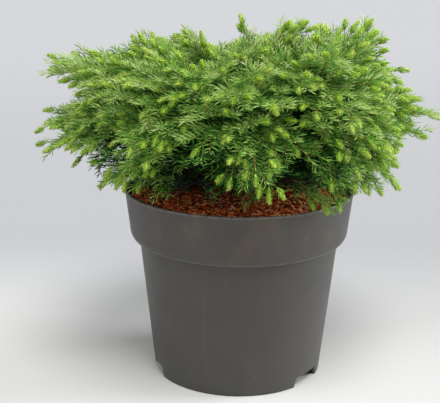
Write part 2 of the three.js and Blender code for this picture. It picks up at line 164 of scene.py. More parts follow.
# Where the arms that stand out most end: round the outline from left to right, then hanging at the front
LEADERS = (
    (-0.233, 0.00, 0.386), (-0.222, -0.03, 0.396), (-0.211, 0.04, 0.398), (-0.243, 0.00, 0.318),
    (-0.241, -0.01, 0.285), (-0.172, -0.06, 0.252), (-0.153, -0.09, 0.269), (-0.165, 0.02, 0.402),
    (-0.132, 0.01, 0.423), (-0.068, 0.00, 0.433), (0.000, 0.01, 0.442), (0.055, -0.02, 0.445),
    (0.080, 0.01, 0.443), (0.158, 0.00, 0.445), (0.176, -0.01, 0.426), (0.211, 0.01, 0.385),
    (0.226, 0.02, 0.348), (0.245, 0.00, 0.330), (0.230, -0.02, 0.307), (0.195, -0.04, 0.250),
    (0.170, -0.08, 0.250), (0.150, -0.10, 0.256), (0.135, -0.10, 0.262), (0.116, -0.12, 0.238),
    (0.102, -0.13, 0.240), (0.086, -0.13, 0.246), (0.067, -0.12, 0.258), (0.094, -0.11, 0.270),
    (0.110, -0.10, 0.268), (0.078, -0.12, 0.284), (0.090, -0.11, 0.292), (0.100, -0.10, 0.284),
    (0.118, -0.10, 0.282), (0.126, -0.11, 0.266), (0.072, -0.10, 0.264), (-0.125, -0.10, 0.285),
    (0.015, -0.14, 0.252), (-0.013, -0.14, 0.267), (-0.028, -0.15, 0.290), (-0.073, -0.14, 0.287),
    (-0.092, -0.13, 0.256), (-0.106, -0.12, 0.266), (-0.122, -0.12, 0.262),
)

# How each order of shoots grows, and how it is trimmed: how far out in the crown's measure and how far
# over its mass's border a shoot may reach, how far it may hang under the underside, and the shortest kept
TRIM = {"from": 0.08, "steps": 24, "least": 0.01}
INNER_ORDER = {"reach": (0.62, 0.86), "border": 0.045, "hang": 0.012, "skirt_hang": 0.035,
               "skirt_droop": -0.11, "shortest": 0.028}
ARM_ORDER = {"reach": 1.4, "border": 0.06, "hang": 0.03, "leader_hang": 0.08, "shortest": 0.028}
SECOND_ORDER = {"seed": 1, "spacing": 0.0075, "from": 0.10, "to": 0.93, "spread": 46,
                "lengths": (0.46, 0.20), "reach": (0.86, 0.98), "past_root": 0.14, "border": 0.045,
                "least_hang": 0.004, "hang": 0.03, "leader_hang": 0.07, "shortest": 0.012}
THIRD_ORDER = {"seed": 2, "spacing": 0.0122, "from": 0.3, "to": 0.85, "spread": 42,
               "lengths": (0.5, 0.35), "parents_over": 0.030, "reach": 0.96, "leader_reach": 0.1,
               "border": 0.045, "hang": 0.006, "leader_hang": 0.07, "shortest": 0.009}
TWIG = {"to_side": 88, "loose_side": 16, "top_each": 6, "loose_top": 40, "loose_spread": 7,
        "loose_length": (0.75, 1.15), "longest": 0.052, "turning": 0.3, "loose_bend": 0.06}
# Rings, sides, and the radius at the foot and at the tip: for the mass stems and three orders of shoots
TWIG_SHAPES = ((20, 8, 0.0023, 0.0014), (7, 4, 0.0009, 0.0005), (3, 3, 0.0004, 0.0003),
               (2, 3, 0.0004, 0.0003))

# Needles of the three orders of shoots, and the clubs of new growth at their ends
NEEDLE_ROWS = (
    {"spacing": 0.00116, "start": 0.14, "size": 0.0120},
    {"spacing": 0.00116, "start": 0.03, "size": 0.0118},
    {"spacing": 0.00120, "start": 0.03, "size": 0.0108},
)
NEEDLE_TURNS = np.array([82, -82, 40, -62, 104, -104, 62, -40, 5])
NEEDLE = {"inner_radius": 0.00082, "outer_radius": 0.00077, "widest": 0.45, "keel": 0.07, "beneath": 90,
          "loose_row": 9, "stand": (66, 43), "forward_on_top": 12, "loose_stand": 4, "length": 0.76,
          "middle_longer": 0.28, "longer_within": (0.1, 0.9), "loose_length": (0.92, 1.06),
          "off_bark": 0.0002}
# How a spray's needle spacing, thickness and tone follow how lit it is; the tone is painted shade and light
SHADING = {"seen_at": 0.7, "outside": (0.5, 0.76), "sparser": 1.9, "from": 0.48, "steps": 4.5,
           "loose": 1.95, "end": 0.62, "foot": 0.24}
# How much painted shade darkens the tones low down, under the crown and for twigs, less where a shoot stands
# out
SHADE = {"low": (0.25, 0.345), "front": 0.03, "low_by": 0.26, "under": (0.12, 0.18), "under_by": 0.44,
         "standing_out": 0.75, "twigs": 0.5}
CLUB = {"shares": (0.88, 0.20, 0.05), "open": 0.8, "darkening": 0.33, "lime": 0.6, "back": 0.006,
        "loose_bend": 0.12, "length": (0.0115, 0.0175), "radius": 0.0022, "egg": (0.10, 0.79),
        "blunt": 0.8, "rings": 5, "sides": 6}
SPIKE = {"count": 38, "from": 0.02, "over": 0.9, "stand": (44, 16), "length": (0.0058, 0.0036),
         "loose_length": (0.8, 1.15), "sunk": 0.72, "radius": 0.0009, "green_foot": 0.36}

# What each seeded number decides. The first ten are the solids' own
KIND = {name: number + 1 for number, name in enumerate((
    "azimuth", "reach", "lift", "side_spread", "side_raise", "upper_turn", "upper_raise", "lower_turn",
    "roll", "core", "spread", "around", "length", "bend", "needle_turn", "needle_length", "shade", "tip",
    "chip_spot", "chip_size", "chip_turn", "chip_shape", "margin", "hang", "inner_turn", "inner_raise"))}

# Floor, lights and camera. The camera stands where the picture was taken from
FLOOR = {"around": 96, "rings": 12, "inner": 0.2, "radius": 14.0, "drop": 0.0002}
WORLD = {"tint": (0.95, 0.97, 1.0, 1), "strength": 0.38}
LIGHTS = (
    ("top_light", (0.3, -0.95, 2.0), 3.1, 30, (1.0, 0.99, 0.97)),
    ("left_light", (-1.5, -0.9, 1.6), 1.0, 50, (1.0, 0.99, 0.97)),
    ("edge_light", (2.4, 0.3, 0.9), 3.3, 30, (0.97, 0.98, 1.0)),
)
CAMERA = {"place": (-0.024, -1.263, 0.563), "pitch": 15.31, "roll": 0.48, "focal_pixels": 1036,
          "frame_width": 440, "sensor": 36.0, "near": 0.05, "far": 60}

GOLDEN = math.radians(137.508)
LEVEL = np.array([1.0, 1.0, 0.0])
UP = np.array([0.0, 0.0, 1.0])


# Seeded numbers and small tools

def scatter(first, second, third):
    """A number from 0 to 1: the fraction of 43758.5453 times the sine of a weighted sum of three numbers."""
    value = np.sin(first * 12.9898 + second * 78.233 + third * 37.719 + 4.1) * 43758.5453
    return value - np.floor(value)


def draw(first, second, kind, order=0):
    """The seeded number that decides one kind of thing, for two numbers and an order of shoots."""
    return scatter(first, second, KIND[kind] + order)


def between(low, high, share):
    """The value at a share of the way from low to high."""
    return low + (high - low) * share


def either_way(most, share):
    """From minus most to most, as the share goes from 0 to 1."""
    return between(-most, most, share)


def smooth_step(low, high, value):
    """0 below low and 1 above high, with the cubic 3t² - 2t³ in between."""
    share = np.clip((value - low) / (high - low), 0, 1)
    return share * share * (3 - 2 * share)


def unit(vectors):
    """Each vector divided by its own length."""
    return vectors / np.linalg.norm(vectors, axis=-1, keepdims=True)


def circle(count):
    """Angles in radians at even steps round a full turn."""
    return np.linspace(0, 2 * np.pi, count, endpoint=False)


def polar(radius, turn, height):
    """Points from their radius, their turn in radians round the upright axis, and their height."""
    return np.stack(np.broadcast_arrays(radius * np.cos(turn), radius * np.sin(turn), height), axis=-1)


def turned(first, second, angle):
    """The first direction turned towards the second by an angle in radians: the first times the angle's
    cosine and the second times its sine, added up."""
    return first * np.cos(angle)[..., None] + second * np.sin(angle)[..., None]


def radius_of(spots):
    """How far each spot is from the pot's upright axis."""
    return np.hypot(spots[..., 0], spots[..., 1])


def azimuth_of(spots):
    """The turn in degrees of each spot round the pot's upright axis, from +X."""
    return np.degrees(np.arctan2(spots[..., 1], spots[..., 0]))


def frontness(spots):
    """The square of the cosine of the turn between a spot and the front, and 0 behind the axis."""
    return np.clip(-spots[..., 1] / np.maximum(radius_of(spots), TINY), 0, 1) ** 2


def bells(value, middles, widths, heights):
    """Bell curves added up: each is its height over e to the square of the way from its middle in widths."""
    return sum(height * np.exp(-((value - middle) / width) ** 2)
               for middle, width, height in zip(middles, widths, heights, strict=True))


def lumps(points, size, seed):
    """Smooth noise from -1 to 1: a seeded number at each corner of a cubic lattice of the given cell
    size, blended inside a cell by the cubic 3t² - 2t³ of the place along each side."""
    cell = points / size
    base = np.floor(cell)
    inner = cell - base
    inner = inner * inner * (3 - 2 * inner)
    total = np.zeros(points.shape[:-1])
    for corner in range(8):
        step = np.array([corner & 1, corner >> 1 & 1, corner >> 2])
        weight = np.prod(np.where(step, inner, 1 - inner), axis=-1)
        x, y, z = np.moveaxis(base + step, -1, 0)
        total += weight * scatter(x, y, z + seed * 7.31)
    return 2 * total - 1


def unevenness(points, layers):
    """Layers of smooth noise added up, each of its own depth, cell size and seed."""
    return sum(depth * lumps(points, size, seed) for depth, size, seed in layers)


def grid_faces(rows, columns):
    """Four-sided faces between neighbouring rows and columns of a grid of points counted row by row, with
    the last column joined to the first."""
    row, column = np.meshgrid(np.arange(rows - 1), np.arange(columns), indexing="ij")
    here = row * columns + column
    after = row * columns + (column + 1) % columns
    return np.stack((here, after, after + columns, here + columns), axis=-1).reshape(-1, 4)


def pole_faces(ring_start, columns, pole, upwards):
    """Triangles from each edge of a closed ring to one pole point."""
    column = np.arange(columns)
    here = ring_start + column
    after = ring_start + (column + 1) % columns
    order = (here, after) if upwards else (after, here)
    return np.stack((*order, np.full(columns, pole)), axis=-1)


def closed_faces(rings, columns):
    """The faces of a closed form made of rings of points, then a point for its first end and one for its
    last: four-sided walls between the rings, and triangles that close the two ends."""
    first = pole_faces(0, columns, rings * columns, False)
    last = pole_faces((rings - 1) * columns, columns, rings * columns + 1, True)
    return grid_faces(rings, columns), np.concatenate((first, last))


def many_times(faces, copies, points_each):
    """One shape's faces repeated for every copy, each copy's point numbers moved on by its own start."""
    return (faces[None] + np.arange(copies)[:, None, None] * points_each).reshape(-1, faces.shape[1])


def make_piece(name, points, face_groups, finishes, finish_of_face=None, smooth=True):
    """A mesh object from arrays: points by three coordinates, and groups of faces with equal corners."""
    mesh = bpy.data.meshes.new(name)
    points = np.asarray(points, dtype=np.float32).reshape(-1, 3)
    corners = np.concatenate([group.reshape(-1) for group in face_groups])
    sides = np.concatenate([np.full(len(group), group.shape[1]) for group in face_groups])
    mesh.vertices.add(len(points))
    mesh.vertices.foreach_set("co", points.ravel())
    mesh.loops.add(len(corners))
    mesh.loops.foreach_set("vertex_index", corners.astype(np.int32))
    mesh.polygons.add(len(sides))
    mesh.polygons.foreach_set("loop_start", (np.cumsum(sides) - sides).astype(np.int32))
    for finish in finishes:
        mesh.materials.append(finish)
    if finish_of_face is not None:
        mesh.polygons.foreach_set("material_index", finish_of_face.astype(np.int32))
    mesh.polygons.foreach_set("use_smooth", np.full(len(sides), smooth))
    mesh.update(calc_edges=True)
    piece = bpy.data.objects.new(name, mesh)
    bpy.context.collection.objects.link(piece)
    return piece


def fitted(piece, slot, *nodes):
    """A piece of the plant: it rides on the root and stands for nodes, whose own parts are hidden. Its
    slot is not used."""
    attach(piece, "root")
    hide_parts(*nodes)
    return piece


# Finishes

class Value:
    """One socket of a finish. Arithmetic on it adds Math nodes."""

    def __init__(self, finish, socket):
        self.finish = finish
        self.socket = socket

    def maths(self, operation, *terms):
        """A Math node of an operation on terms."""
        settings = {"operation": operation}
        return self.finish.node("ShaderNodeMath", settings, dict(enumerate(terms)))

    def __add__(self, other):
        return self.maths("ADD", self, other)

    __radd__ = __add__

    def __sub__(self, other):
        return self.maths("SUBTRACT", self, other)

    def __rsub__(self, other):
        return self.maths("SUBTRACT", other, self)

    def __mul__(self, other):
        return self.maths("MULTIPLY", self, other)

    __rmul__ = __mul__


class Finish:
    """A procedural material round one Principled shader, read from Object coordinates."""

    def __init__(self, name, base, roughness, gloss):
        self.material = bpy.data.materials.new(name)
        self.material.use_nodes = True
        self.tree = self.material.node_tree
        self.shader = self.tree.nodes["Principled BSDF"]
        self.colour(base)
        self.rough(roughness)
        self.feed(self.shader.inputs["Specular IOR Level"], gloss)
        self.material.diffuse_color = base

    def feed(self, socket, value):
        """Links a value to a socket, or sets a plain number or colour on it."""
        if isinstance(value, Value):
            self.tree.links.new(value.socket, socket)
        else:
            socket.default_value = value

    def node(self, kind, settings=None, inputs=None, output=0):
        """Adds a node of a type: its settings first, then the values or links of its sockets."""
        made = self.tree.nodes.new(kind)
        for name, setting in (settings or {}).items():
            if name == "stops":
                elements = made.color_ramp.elements
                for stop, (place, base) in enumerate(setting):
                    element = elements[stop] if stop < 2 else elements.new(place)
                    element.position = place
                    element.color = base
            else:
                setattr(made, name, setting)
        for name, value in (inputs or {}).items():
            self.feed(made.inputs[name], value)
        return Value(self, made.outputs[output])

    def place(self):
        """Object coordinates."""
        return self.node("ShaderNodeTexCoord", output="Object")

    def along(self, axis):
        """The place's own coordinate along X, Y or Z."""
        return self.node("ShaderNodeSeparateXYZ", inputs={0: self.place()}, output=axis)

    def noise(self, scale, detail, stretch=(1, 1, 1), distortion=0.0):
        """Cloudy noise from 0 to 1, with cells of one over the scale, drawn out where the stretch is
        small."""
        seen = self.node("ShaderNodeMapping", inputs={"Vector": self.place(), "Scale": stretch})
        inputs = {"Scale": scale, "Detail": detail, "Distortion": distortion, "Vector": seen}
        return self.node("ShaderNodeTexNoise", inputs=inputs)

    def ramp(self, value, *stops):
        """A value sent through colour stops."""
        return self.node("ShaderNodeValToRGB", {"stops": stops}, {"Fac": value})

    def mask(self, value, low, high):
        """0 below low and 1 above high, smoothly in between."""
        inputs = {"Value": value, "From Min": low, "From Max": high}
        return self.node("ShaderNodeMapRange", {"interpolation_type": "SMOOTHSTEP"}, inputs)

    def mix(self, share, first, second):
        """Two colours mixed by a share."""
        return self.node("ShaderNodeMix", {"data_type": "RGBA"}, {0: share, 6: first, 7: second}, output=2)

    def colour(self, value):
        """Sets the base colour."""
        self.feed(self.shader.inputs["Base Color"], value)

    def rough(self, value):
        """Sets the roughness."""
        self.feed(self.shader.inputs["Roughness"], value)

    def relief(self, height, distance, strength):
        """A bump from a height, as deep as the distance."""
        inputs = {"Height": height, "Distance": distance, "Strength": strength}
        self.feed(self.shader.inputs["Normal"], self.node("ShaderNodeBump", inputs=inputs))


def tone(red, green, blue):
    """A colour from its three screen values of 0 to 255, made linear by the standard screen curve."""
    screen = np.array([red, green, blue]) / 255
    linear = np.where(screen <= 0.04045, screen / 12.92, ((screen + 0.055) / 1.055) ** 2.4)
    return (*(float(part) for part in linear), 1.0)


# Plain finishes as rows of name, tone and gloss, each from its darkest to its lightest
CHIP_TONES = (
    ("chip_black", tone(54, 25, 15), 0.25),
    ("chip_brown", tone(166, 70, 30), 0.25),
    ("chip_red", tone(232, 110, 48), 0.25),
    ("chip_orange", tone(250, 166, 96), 0.25),
    ("chip_tan", tone(250, 208, 164), 0.25),
)
CHIP_SHARES = (0.18, 0.46, 0.74, 0.93, 1.0)
# Needle tones are steps of painted shade and light on one green, dealt out by how lit each spray is; every
# spray's end also takes the next lighter step for its new growth
NEEDLE_TONES = (
    ("needles_deep", tone(7, 38, 5), 0.15),
    ("needles_dark", tone(54, 113, 29), 0.25),
    ("needles_mid", tone(114, 163, 61), 0.38),
    ("needles_lit_fresh", tone(148, 179, 86), 0.4),
    ("needles_lit_tip", tone(163, 186, 110), 0.42),
)
CLUB_TONES = (
    ("new_growth_green", tone(136, 182, 52), 0.4),
    ("new_growth_lime", tone(170, 204, 66), 0.4),
    ("new_growth_pale", tone(186, 211, 90), 0.4),
)
TWIG_TONES = (
    # The first tone is painted shade: near black brown for the mass stems and for the twigs deep in shade
    ("shaded_twig_brown", tone(33, 26, 21), 0.2),
    ("twig_brown", tone(154, 114, 80), 0.2),
    ("twig_tan", tone(126, 130, 66), 0.2),
    ("twig_green", tone(112, 144, 60), 0.2),
)
GREEN_ROUGHNESS = 0.5
TWIG_ROUGHNESS = 0.8


def plain_finishes(rows, roughness):
    """Plain base colours, dealt out by chip or by spray: a finish for each row of name, tone and gloss."""
    return [Finish(name, base, roughness, gloss).material for name, base, gloss in rows]


def pot_plastic():
    """Matt grey-brown plastic: cloudy tone, brown water stains that are strongest on the band, upright rub
    marks, dirt at the foot, a painted highlight along the rim and the band's lower edge, and a few pale
    specks."""
    finish = Finish("pot_plastic", tone(72, 70, 67), 0.55, 0.62)
    cloudy = finish.mix(finish.noise(9, 4), tone(47, 46, 43), tone(57, 54, 49))
    height = finish.along("Z")
    on_band = finish.mask(height, POT["band_foot"] - 0.02, POT["band_foot"] + 0.006)
    stain = finish.mask(finish.noise(26, 5, (1, 1, 0.55), 0.8), 0.5, 0.72) * (on_band * 0.6 + 0.16)
    stained = finish.mix(stain * 0.6, cloudy, tone(86, 66, 50))
    streak = finish.mask(finish.noise(70, 3, (1, 1, 0.06)), 0.55, 0.75) * 0.14
    streaked = finish.mix(streak, stained, tone(86, 84, 80))
    foot = (1 - finish.mask(height, 0.0, 0.05)) * finish.noise(40, 4) * 0.55
    dirty = finish.mix(foot, streaked, tone(56, 57, 50))
    # Painted highlight: a pale line along the band's lower edge and along the rim, broken up by noise
    under_band = finish.mask(height, POT["band_foot"] - 0.001, POT["band_foot"] + 0.0012)
    over_edge = 1 - finish.mask(height, POT["band_foot"] + 0.0016, POT["band_foot"] + 0.0055)
    rim = finish.mask(height, POT["height"] - 0.0035, POT["height"] - 0.0012)
    pale = (under_band * over_edge + rim) * finish.mask(finish.noise(90, 3), 0.2, 0.62) * 0.36
    highlighted = finish.mix(pale, dirty, tone(128, 124, 117))
    few = finish.mask(finish.noise(33, 2), 0.56, 0.68)
    specks = finish.mask(finish.noise(420, 2), 0.71, 0.76) * few * 0.4
    finish.colour(finish.mix(specks, highlighted, tone(170, 166, 158)))
    finish.rough(finish.noise(30, 4) * 0.2 + 0.4)
    finish.relief(finish.noise(1500, 2) * 0.5 + finish.noise(260, 3), 0.00025, 0.5)
    return finish.material


def mulch_ground():
    """Fine dark bark between the chips: red-brown clouds over near black, with painted shade that turns it
    near black at the back.
    """
    finish = Finish("mulch_ground", tone(74, 34, 16), 0.9, 0.2)
    clods = finish.noise(210, 6, distortion=0.6)
    unshaded = finish.ramp(clods, (0.3, tone(44, 20, 10)), (0.52, tone(124, 52, 20)), (0.75, tone(184, 92, 42)))
    # Painted shade: the ground turns near black from the front of the stem backwards
    finish.colour(finish.mix(finish.mask(finish.along("Y"), *CHIP["painted_shade"]), unshaded, tone(24, 14, 9)))
    finish.relief(clods + finish.noise(700, 4) * 0.5, 0.002, 0.9)
    return finish.material


def spruce_bark():
    """Thin scaly bark: grey-brown plates over red-brown furrows."""
    finish = Finish("spruce_bark", tone(112, 82, 60), 0.88, 0.25)
    plates = finish.noise(160, 5, (1, 1, 0.45), 0.5)
    stops = ((0.3, tone(40, 28, 20)), (0.5, tone(84, 62, 45)), (0.72, tone(122, 104, 86)))
    finish.colour(finish.ramp(plates, *stops))
    finish.relief(plates + finish.noise(600, 4) * 0.4, 0.0008, 0.8)
    return finish.material


# Pot

def arc(centre, radii, start, end, steps):
    """Points of radius and height on a quarter of an ellipse between two angles round its centre."""
    turn = np.radians(np.linspace(start, end, steps))
    return np.stack((centre[0] + radii[0] * np.cos(turn), centre[1] + radii[1] * np.sin(turn)), axis=-1)


def run(start, end, steps):
    """Points of radius and height evenly along a straight line, its two ends among them."""
    start, end = np.array(start, dtype=float), np.array(end, dtype=float)
    return between(start, end, np.linspace(0, 1, steps)[:, None])


def joined(*stretches):
    """A profile from its stretches, with points that repeat the one before left out."""
    profile = np.concatenate(stretches)
    step = np.linalg.norm(np.diff(profile, axis=0), axis=1)
    return profile[np.concatenate(([True], step > CLOSE))]


def pot_profile():
    """The pot's outline in radius and height, from the middle of its underside, round the foot skirt, up
    the tapered body, over the band and the rim, and down inside to the middle of its floor. It is made of
    straight runs and quarter arcs, and the last number of each is how many points it has."""
    foot, body_top, band_foot = POT["foot_radius"], POT["body_top_radius"], POT["band_foot"]
    under_band, band, rim = POT["band_foot_radius"], POT["band_radius"], POT["rim_radius"]
    pad, pad_round, roof, wall = POT["pad_radius"], POT["pad_round"], POT["channel_roof"], POT["wall"]
    rounding, skirt_round = POT["foot_round"], POT["foot_round"] / 2
    shoulder = band_foot + POT["shoulder"]
    shoulder_size = (band - under_band, POT["shoulder"])
    top, bead, lip_round = POT["height"], POT["lip_bead"], POT["lip_round"]
    lip_foot = top - POT["lip"]
    floor = roof + wall
    return joined(
        run((0, 0), (pad - pad_round, 0), 8),
        arc((pad - pad_round, pad_round), (pad_round, pad_round), -90, 0, 5),
        run((pad, pad_round), (pad + POT["pad_slope"], roof), 5),
        run((pad + POT["pad_slope"], roof), (SKIRT_INSIDE, roof), 24),
        run((SKIRT_INSIDE, roof), (SKIRT_INSIDE, skirt_round), 9),
        arc((SKIRT_INSIDE + skirt_round, skirt_round), (skirt_round, skirt_round), 180, 270, 4),
        arc((foot - rounding, rounding), (rounding, rounding), -90, 0, 5),
        run((foot, rounding), (body_top, band_foot - POT["ledge_drop"]), 34),
        run((body_top, band_foot), (under_band - POT["ledge_round"], band_foot), 3),
        arc((under_band, shoulder), shoulder_size, -86, 0, 15),
        run((band, shoulder), (rim - bead, lip_foot), 14),
        arc((rim - bead, lip_foot + bead), (bead, bead), -80, 0, 4),
        arc((rim - lip_round, top - lip_round), (lip_round, lip_round), 0, 90, 5),
        arc((rim - wall - lip_round / 2, top - lip_round), (lip_round, lip_round), 90, 180, 5),
        run((rim - wall - POT["lip_inset"], lip_foot), (band - wall, shoulder), 10),
        arc((under_band - wall, shoulder), shoulder_size, 0, -90, 8),
        run((body_top - wall, band_foot), (foot - wall, floor), 12),
        run((foot - wall, floor), (pad, floor), 5),
        run((pad - wall, wall), (0, wall), 5),
    )


def turned_piece(name, profile, around, shape, finishes):
    """A closed body turned round the upright axis. The profile's ends lie on the axis and become poles.
    The shape function gets radius, height and azimuth grids and gives back the moved radius and height."""
    azimuth = circle(around)
    radius = np.repeat(profile[1:-1, :1], around, axis=1)
    height = np.repeat(profile[1:-1, 1:], around, axis=1)
    radius, height = shape(radius, height, np.broadcast_to(azimuth, radius.shape))
    rings = polar(radius, azimuth, height)
    poles = [(0, 0, profile[0, 1]), (0, 0, profile[-1, 1])]
    points = np.concatenate((rings.reshape(-1, 3), poles))
    return make_piece(name, points, closed_faces(len(rings), around), finishes)


def notch_height(azimuth):
    """How high the foot is cut away: full height within each notch, falling along its sloped ends to a
    small step, and none elsewhere. Across is the arc length from the notch's middle at the foot's radius."""
    lifted = np.zeros_like(azimuth)
    inner = NOTCH["half_width"] - NOTCH["slope"]
    for centre in NOTCH["centres"]:
        turn = azimuth - math.radians(centre)
        across = np.abs(np.angle(np.exp(1j * turn))) * POT["foot_radius"]
        share = np.clip((across - inner) / NOTCH["slope"], 0, 1)
        cut = between(NOTCH["height"], NOTCH["foot"], share)
        lifted = np.maximum(lifted, np.where(across <= NOTCH["half_width"], cut, 0))
    return lifted


def pot_shape(radius, height, azimuth):
    """The turned wall with its foot skirt squeezed up over each notch, a recess at each drain hole in the
    channel's roof, and a very slight unevenness all over."""
    roof = POT["channel_roof"]
    highest = roof + NOTCH["ceiling"]
    in_skirt = (radius > SKIRT_INSIDE - CLOSE) & (radius < POT["foot_radius"] + NOTCH["past_foot"])
    in_skirt &= height < highest
    ceiling = np.where(radius > SKIRT_INSIDE + POT["skirt"] / 2, highest, roof)
    squeezed = between(notch_height(azimuth), ceiling, np.clip(height / ceiling, 0, 1))
    height = np.where(in_skirt, squeezed, height)
    on_roof = (np.abs(height - roof) < CLOSE) & (radius < SKIRT_INSIDE - DRAIN["from_skirt"])
    inside, outside = DRAIN["radius"] - DRAIN["edge"], DRAIN["radius"] + DRAIN["edge"]
    for hole in range(DRAIN["holes"]):
        angle = 2 * np.pi * hole / DRAIN["holes"]
        apart = radius_of(polar(radius, azimuth, 0) - polar(DRAIN["ring"], angle, 0))
        recess = DRAIN["depth"] * (1 - smooth_step(inside, outside, apart))
        height = height + np.where(on_roof, recess, 0)
    spots = polar(radius, azimuth, height)
    return radius + unevenness(spots, POT_LAYERS) * smooth_step(*POT_EVEN_BELOW, height), height


def make_pot():
    """The pot as one turned shell, with sharp edges where its faces meet at more than a set angle."""
    piece = turned_piece("pot_shell", pot_profile(), POT_AROUND, pot_shape, [pot_plastic()])
    piece.data.set_sharp_from_angle(angle=math.radians(POT_SHARP))
    return fitted(piece, "pot_plastic", "pot")


# Growing medium

def soil_edge_radius():
    """The medium's edge: the pot's inner wall at the soil's level, less a narrow gap."""
    band_height = POT["height"] - POT["band_foot"] - POT["shoulder"]
    inside = between(POT["band_radius"], POT["rim_radius"], 1 - MEDIUM["under_rim"] / band_height)
    return inside - POT["wall"] - 3 * GAP


def soil_height(x, y):
    """The medium's top: level seat, crest and edge heights joined by straight slopes over the radius, with
    lumps of three sizes that fade out at the stem's seat."""
    crest = between(SOIL_EDGE, SOIL_SEAT, MEDIUM["crest_share"])
    radius = np.hypot(x, y)
    stations = (MEDIUM["seat_radius"], MEDIUM["crest_radius"], soil_edge_radius())
    level = np.interp(radius, stations, (SOIL_SEAT, crest, SOIL_EDGE))
    uneven = unevenness(np.stack((x, y, np.zeros_like(x)), axis=-1), SOIL_LAYERS) - MEDIUM["sunk"]
    return level + uneven * smooth_step(*MEDIUM["even_within"], radius)


def medium_shape(radius, height, azimuth):
    """Only the top is uneven: points at the soil's level and inside its edge take the soil's height."""
    on_top = (height > SOIL_EDGE - CLOSE) & (radius < soil_edge_radius() + CLOSE)
    uneven = soil_height(radius * np.cos(azimuth), radius * np.sin(azimuth))
    return radius, np.where(on_top, uneven, height)


def make_medium():
    """The medium as one turned body: the pot's inner form drawn in by a narrow gap, with a close set of
    rings over its top."""
    inset = POT["wall"] + GAP
    floor = POT["channel_roof"] + inset
    shoulder = POT["band_foot"] + POT["shoulder"]
    edge = soil_edge_radius()
    rings = MEDIUM["rings"]
    profile = joined(
        run((0, inset), (POT["pad_radius"] - inset, inset), 3),
        run((POT["pad_radius"], floor), (POT["foot_radius"] - inset, floor), 3),
        run((POT["foot_radius"] - inset, floor), (POT["body_top_radius"] - inset, POT["band_foot"]), 5),
        run((POT["band_foot_radius"] - inset, POT["band_foot"]), (POT["band_radius"] - inset, shoulder), 3),
        run((POT["band_radius"] - inset, shoulder), (edge, SOIL_EDGE), 4),
        np.stack((np.linspace(edge, 0, rings), np.full(rings, SOIL_SEAT)), axis=-1),
    )
    piece = turned_piece("mulch_bed", profile, MEDIUM["around"], medium_shape, [mulch_ground()])
    return fitted(piece, "bark_mulch", "growing_medium")


CHIP_CORNERS = np.array([(x, y, z) for x in (-1, 1) for y in (-1, 1) for z in (-1, 1)], dtype=float)
CHIP_FACES = np.array([(0, 1, 3, 2), (4, 6, 7, 5), (0, 4, 5, 1), (2, 3, 7, 6), (0, 2, 6, 4), (1, 5, 7, 3)])


def chip_points(number, place, lift):
    """Chips as six-sided blocks with every corner moved at random, longer than wide, turned any way round
    and tipped a little. Three in ten are long thin fibres, and one in eleven is a large flake."""
    pick = lambda kind, turn: draw(number, turn, kind)
    fibre = pick("chip_size", 1) < CHIP["fibres"]
    flake = pick("chip_size", 2) < CHIP["flakes"]
    share = pick("chip_size", 3)
    length = np.where(fibre, between(*CHIP["fibre_length"], share), between(*CHIP["length"], share))
    length = np.where(flake, between(*CHIP["flake_length"], share), length)
    width = between(*CHIP["width"], pick("chip_size", 4)) * np.where(flake, CHIP["flake_wider"], 1)
    width = np.where(fibre, CHIP["fibre_width"], width)
    thick = np.where(fibre, CHIP["fibre_thick"], between(*CHIP["thick"], pick("chip_size", 5)))
    size = np.stack((length, width, thick), axis=-1) / 2
    corner = np.arange(len(CHIP_CORNERS)) * 3
    moved = [draw(number[:, None], corner + axis, "chip_shape") for axis in range(3)]
    block = CHIP_CORNERS * between(*CHIP["corners"], np.stack(moved, axis=-1)) * size[:, None]
    yaw = 2 * np.pi * pick("chip_turn", 1)
    dip = either_way(CHIP["dip"], pick("chip_turn", 2))
    roll = either_way(CHIP["roll"], pick("chip_turn", 3))
    along = polar(np.cos(dip), yaw, np.sin(dip))
    flat = unit(np.cross(UP, along))
    lifted = np.cross(along, flat)
    across = turned(flat, lifted, roll)
    basis = np.stack((along, across, np.cross(along, across)), axis=1)
    centre = place + UP * (lift + thick * CHIP["raised"])[:, None]
    return centre[:, None] + np.einsum("nci,nij->ncj", block, basis)


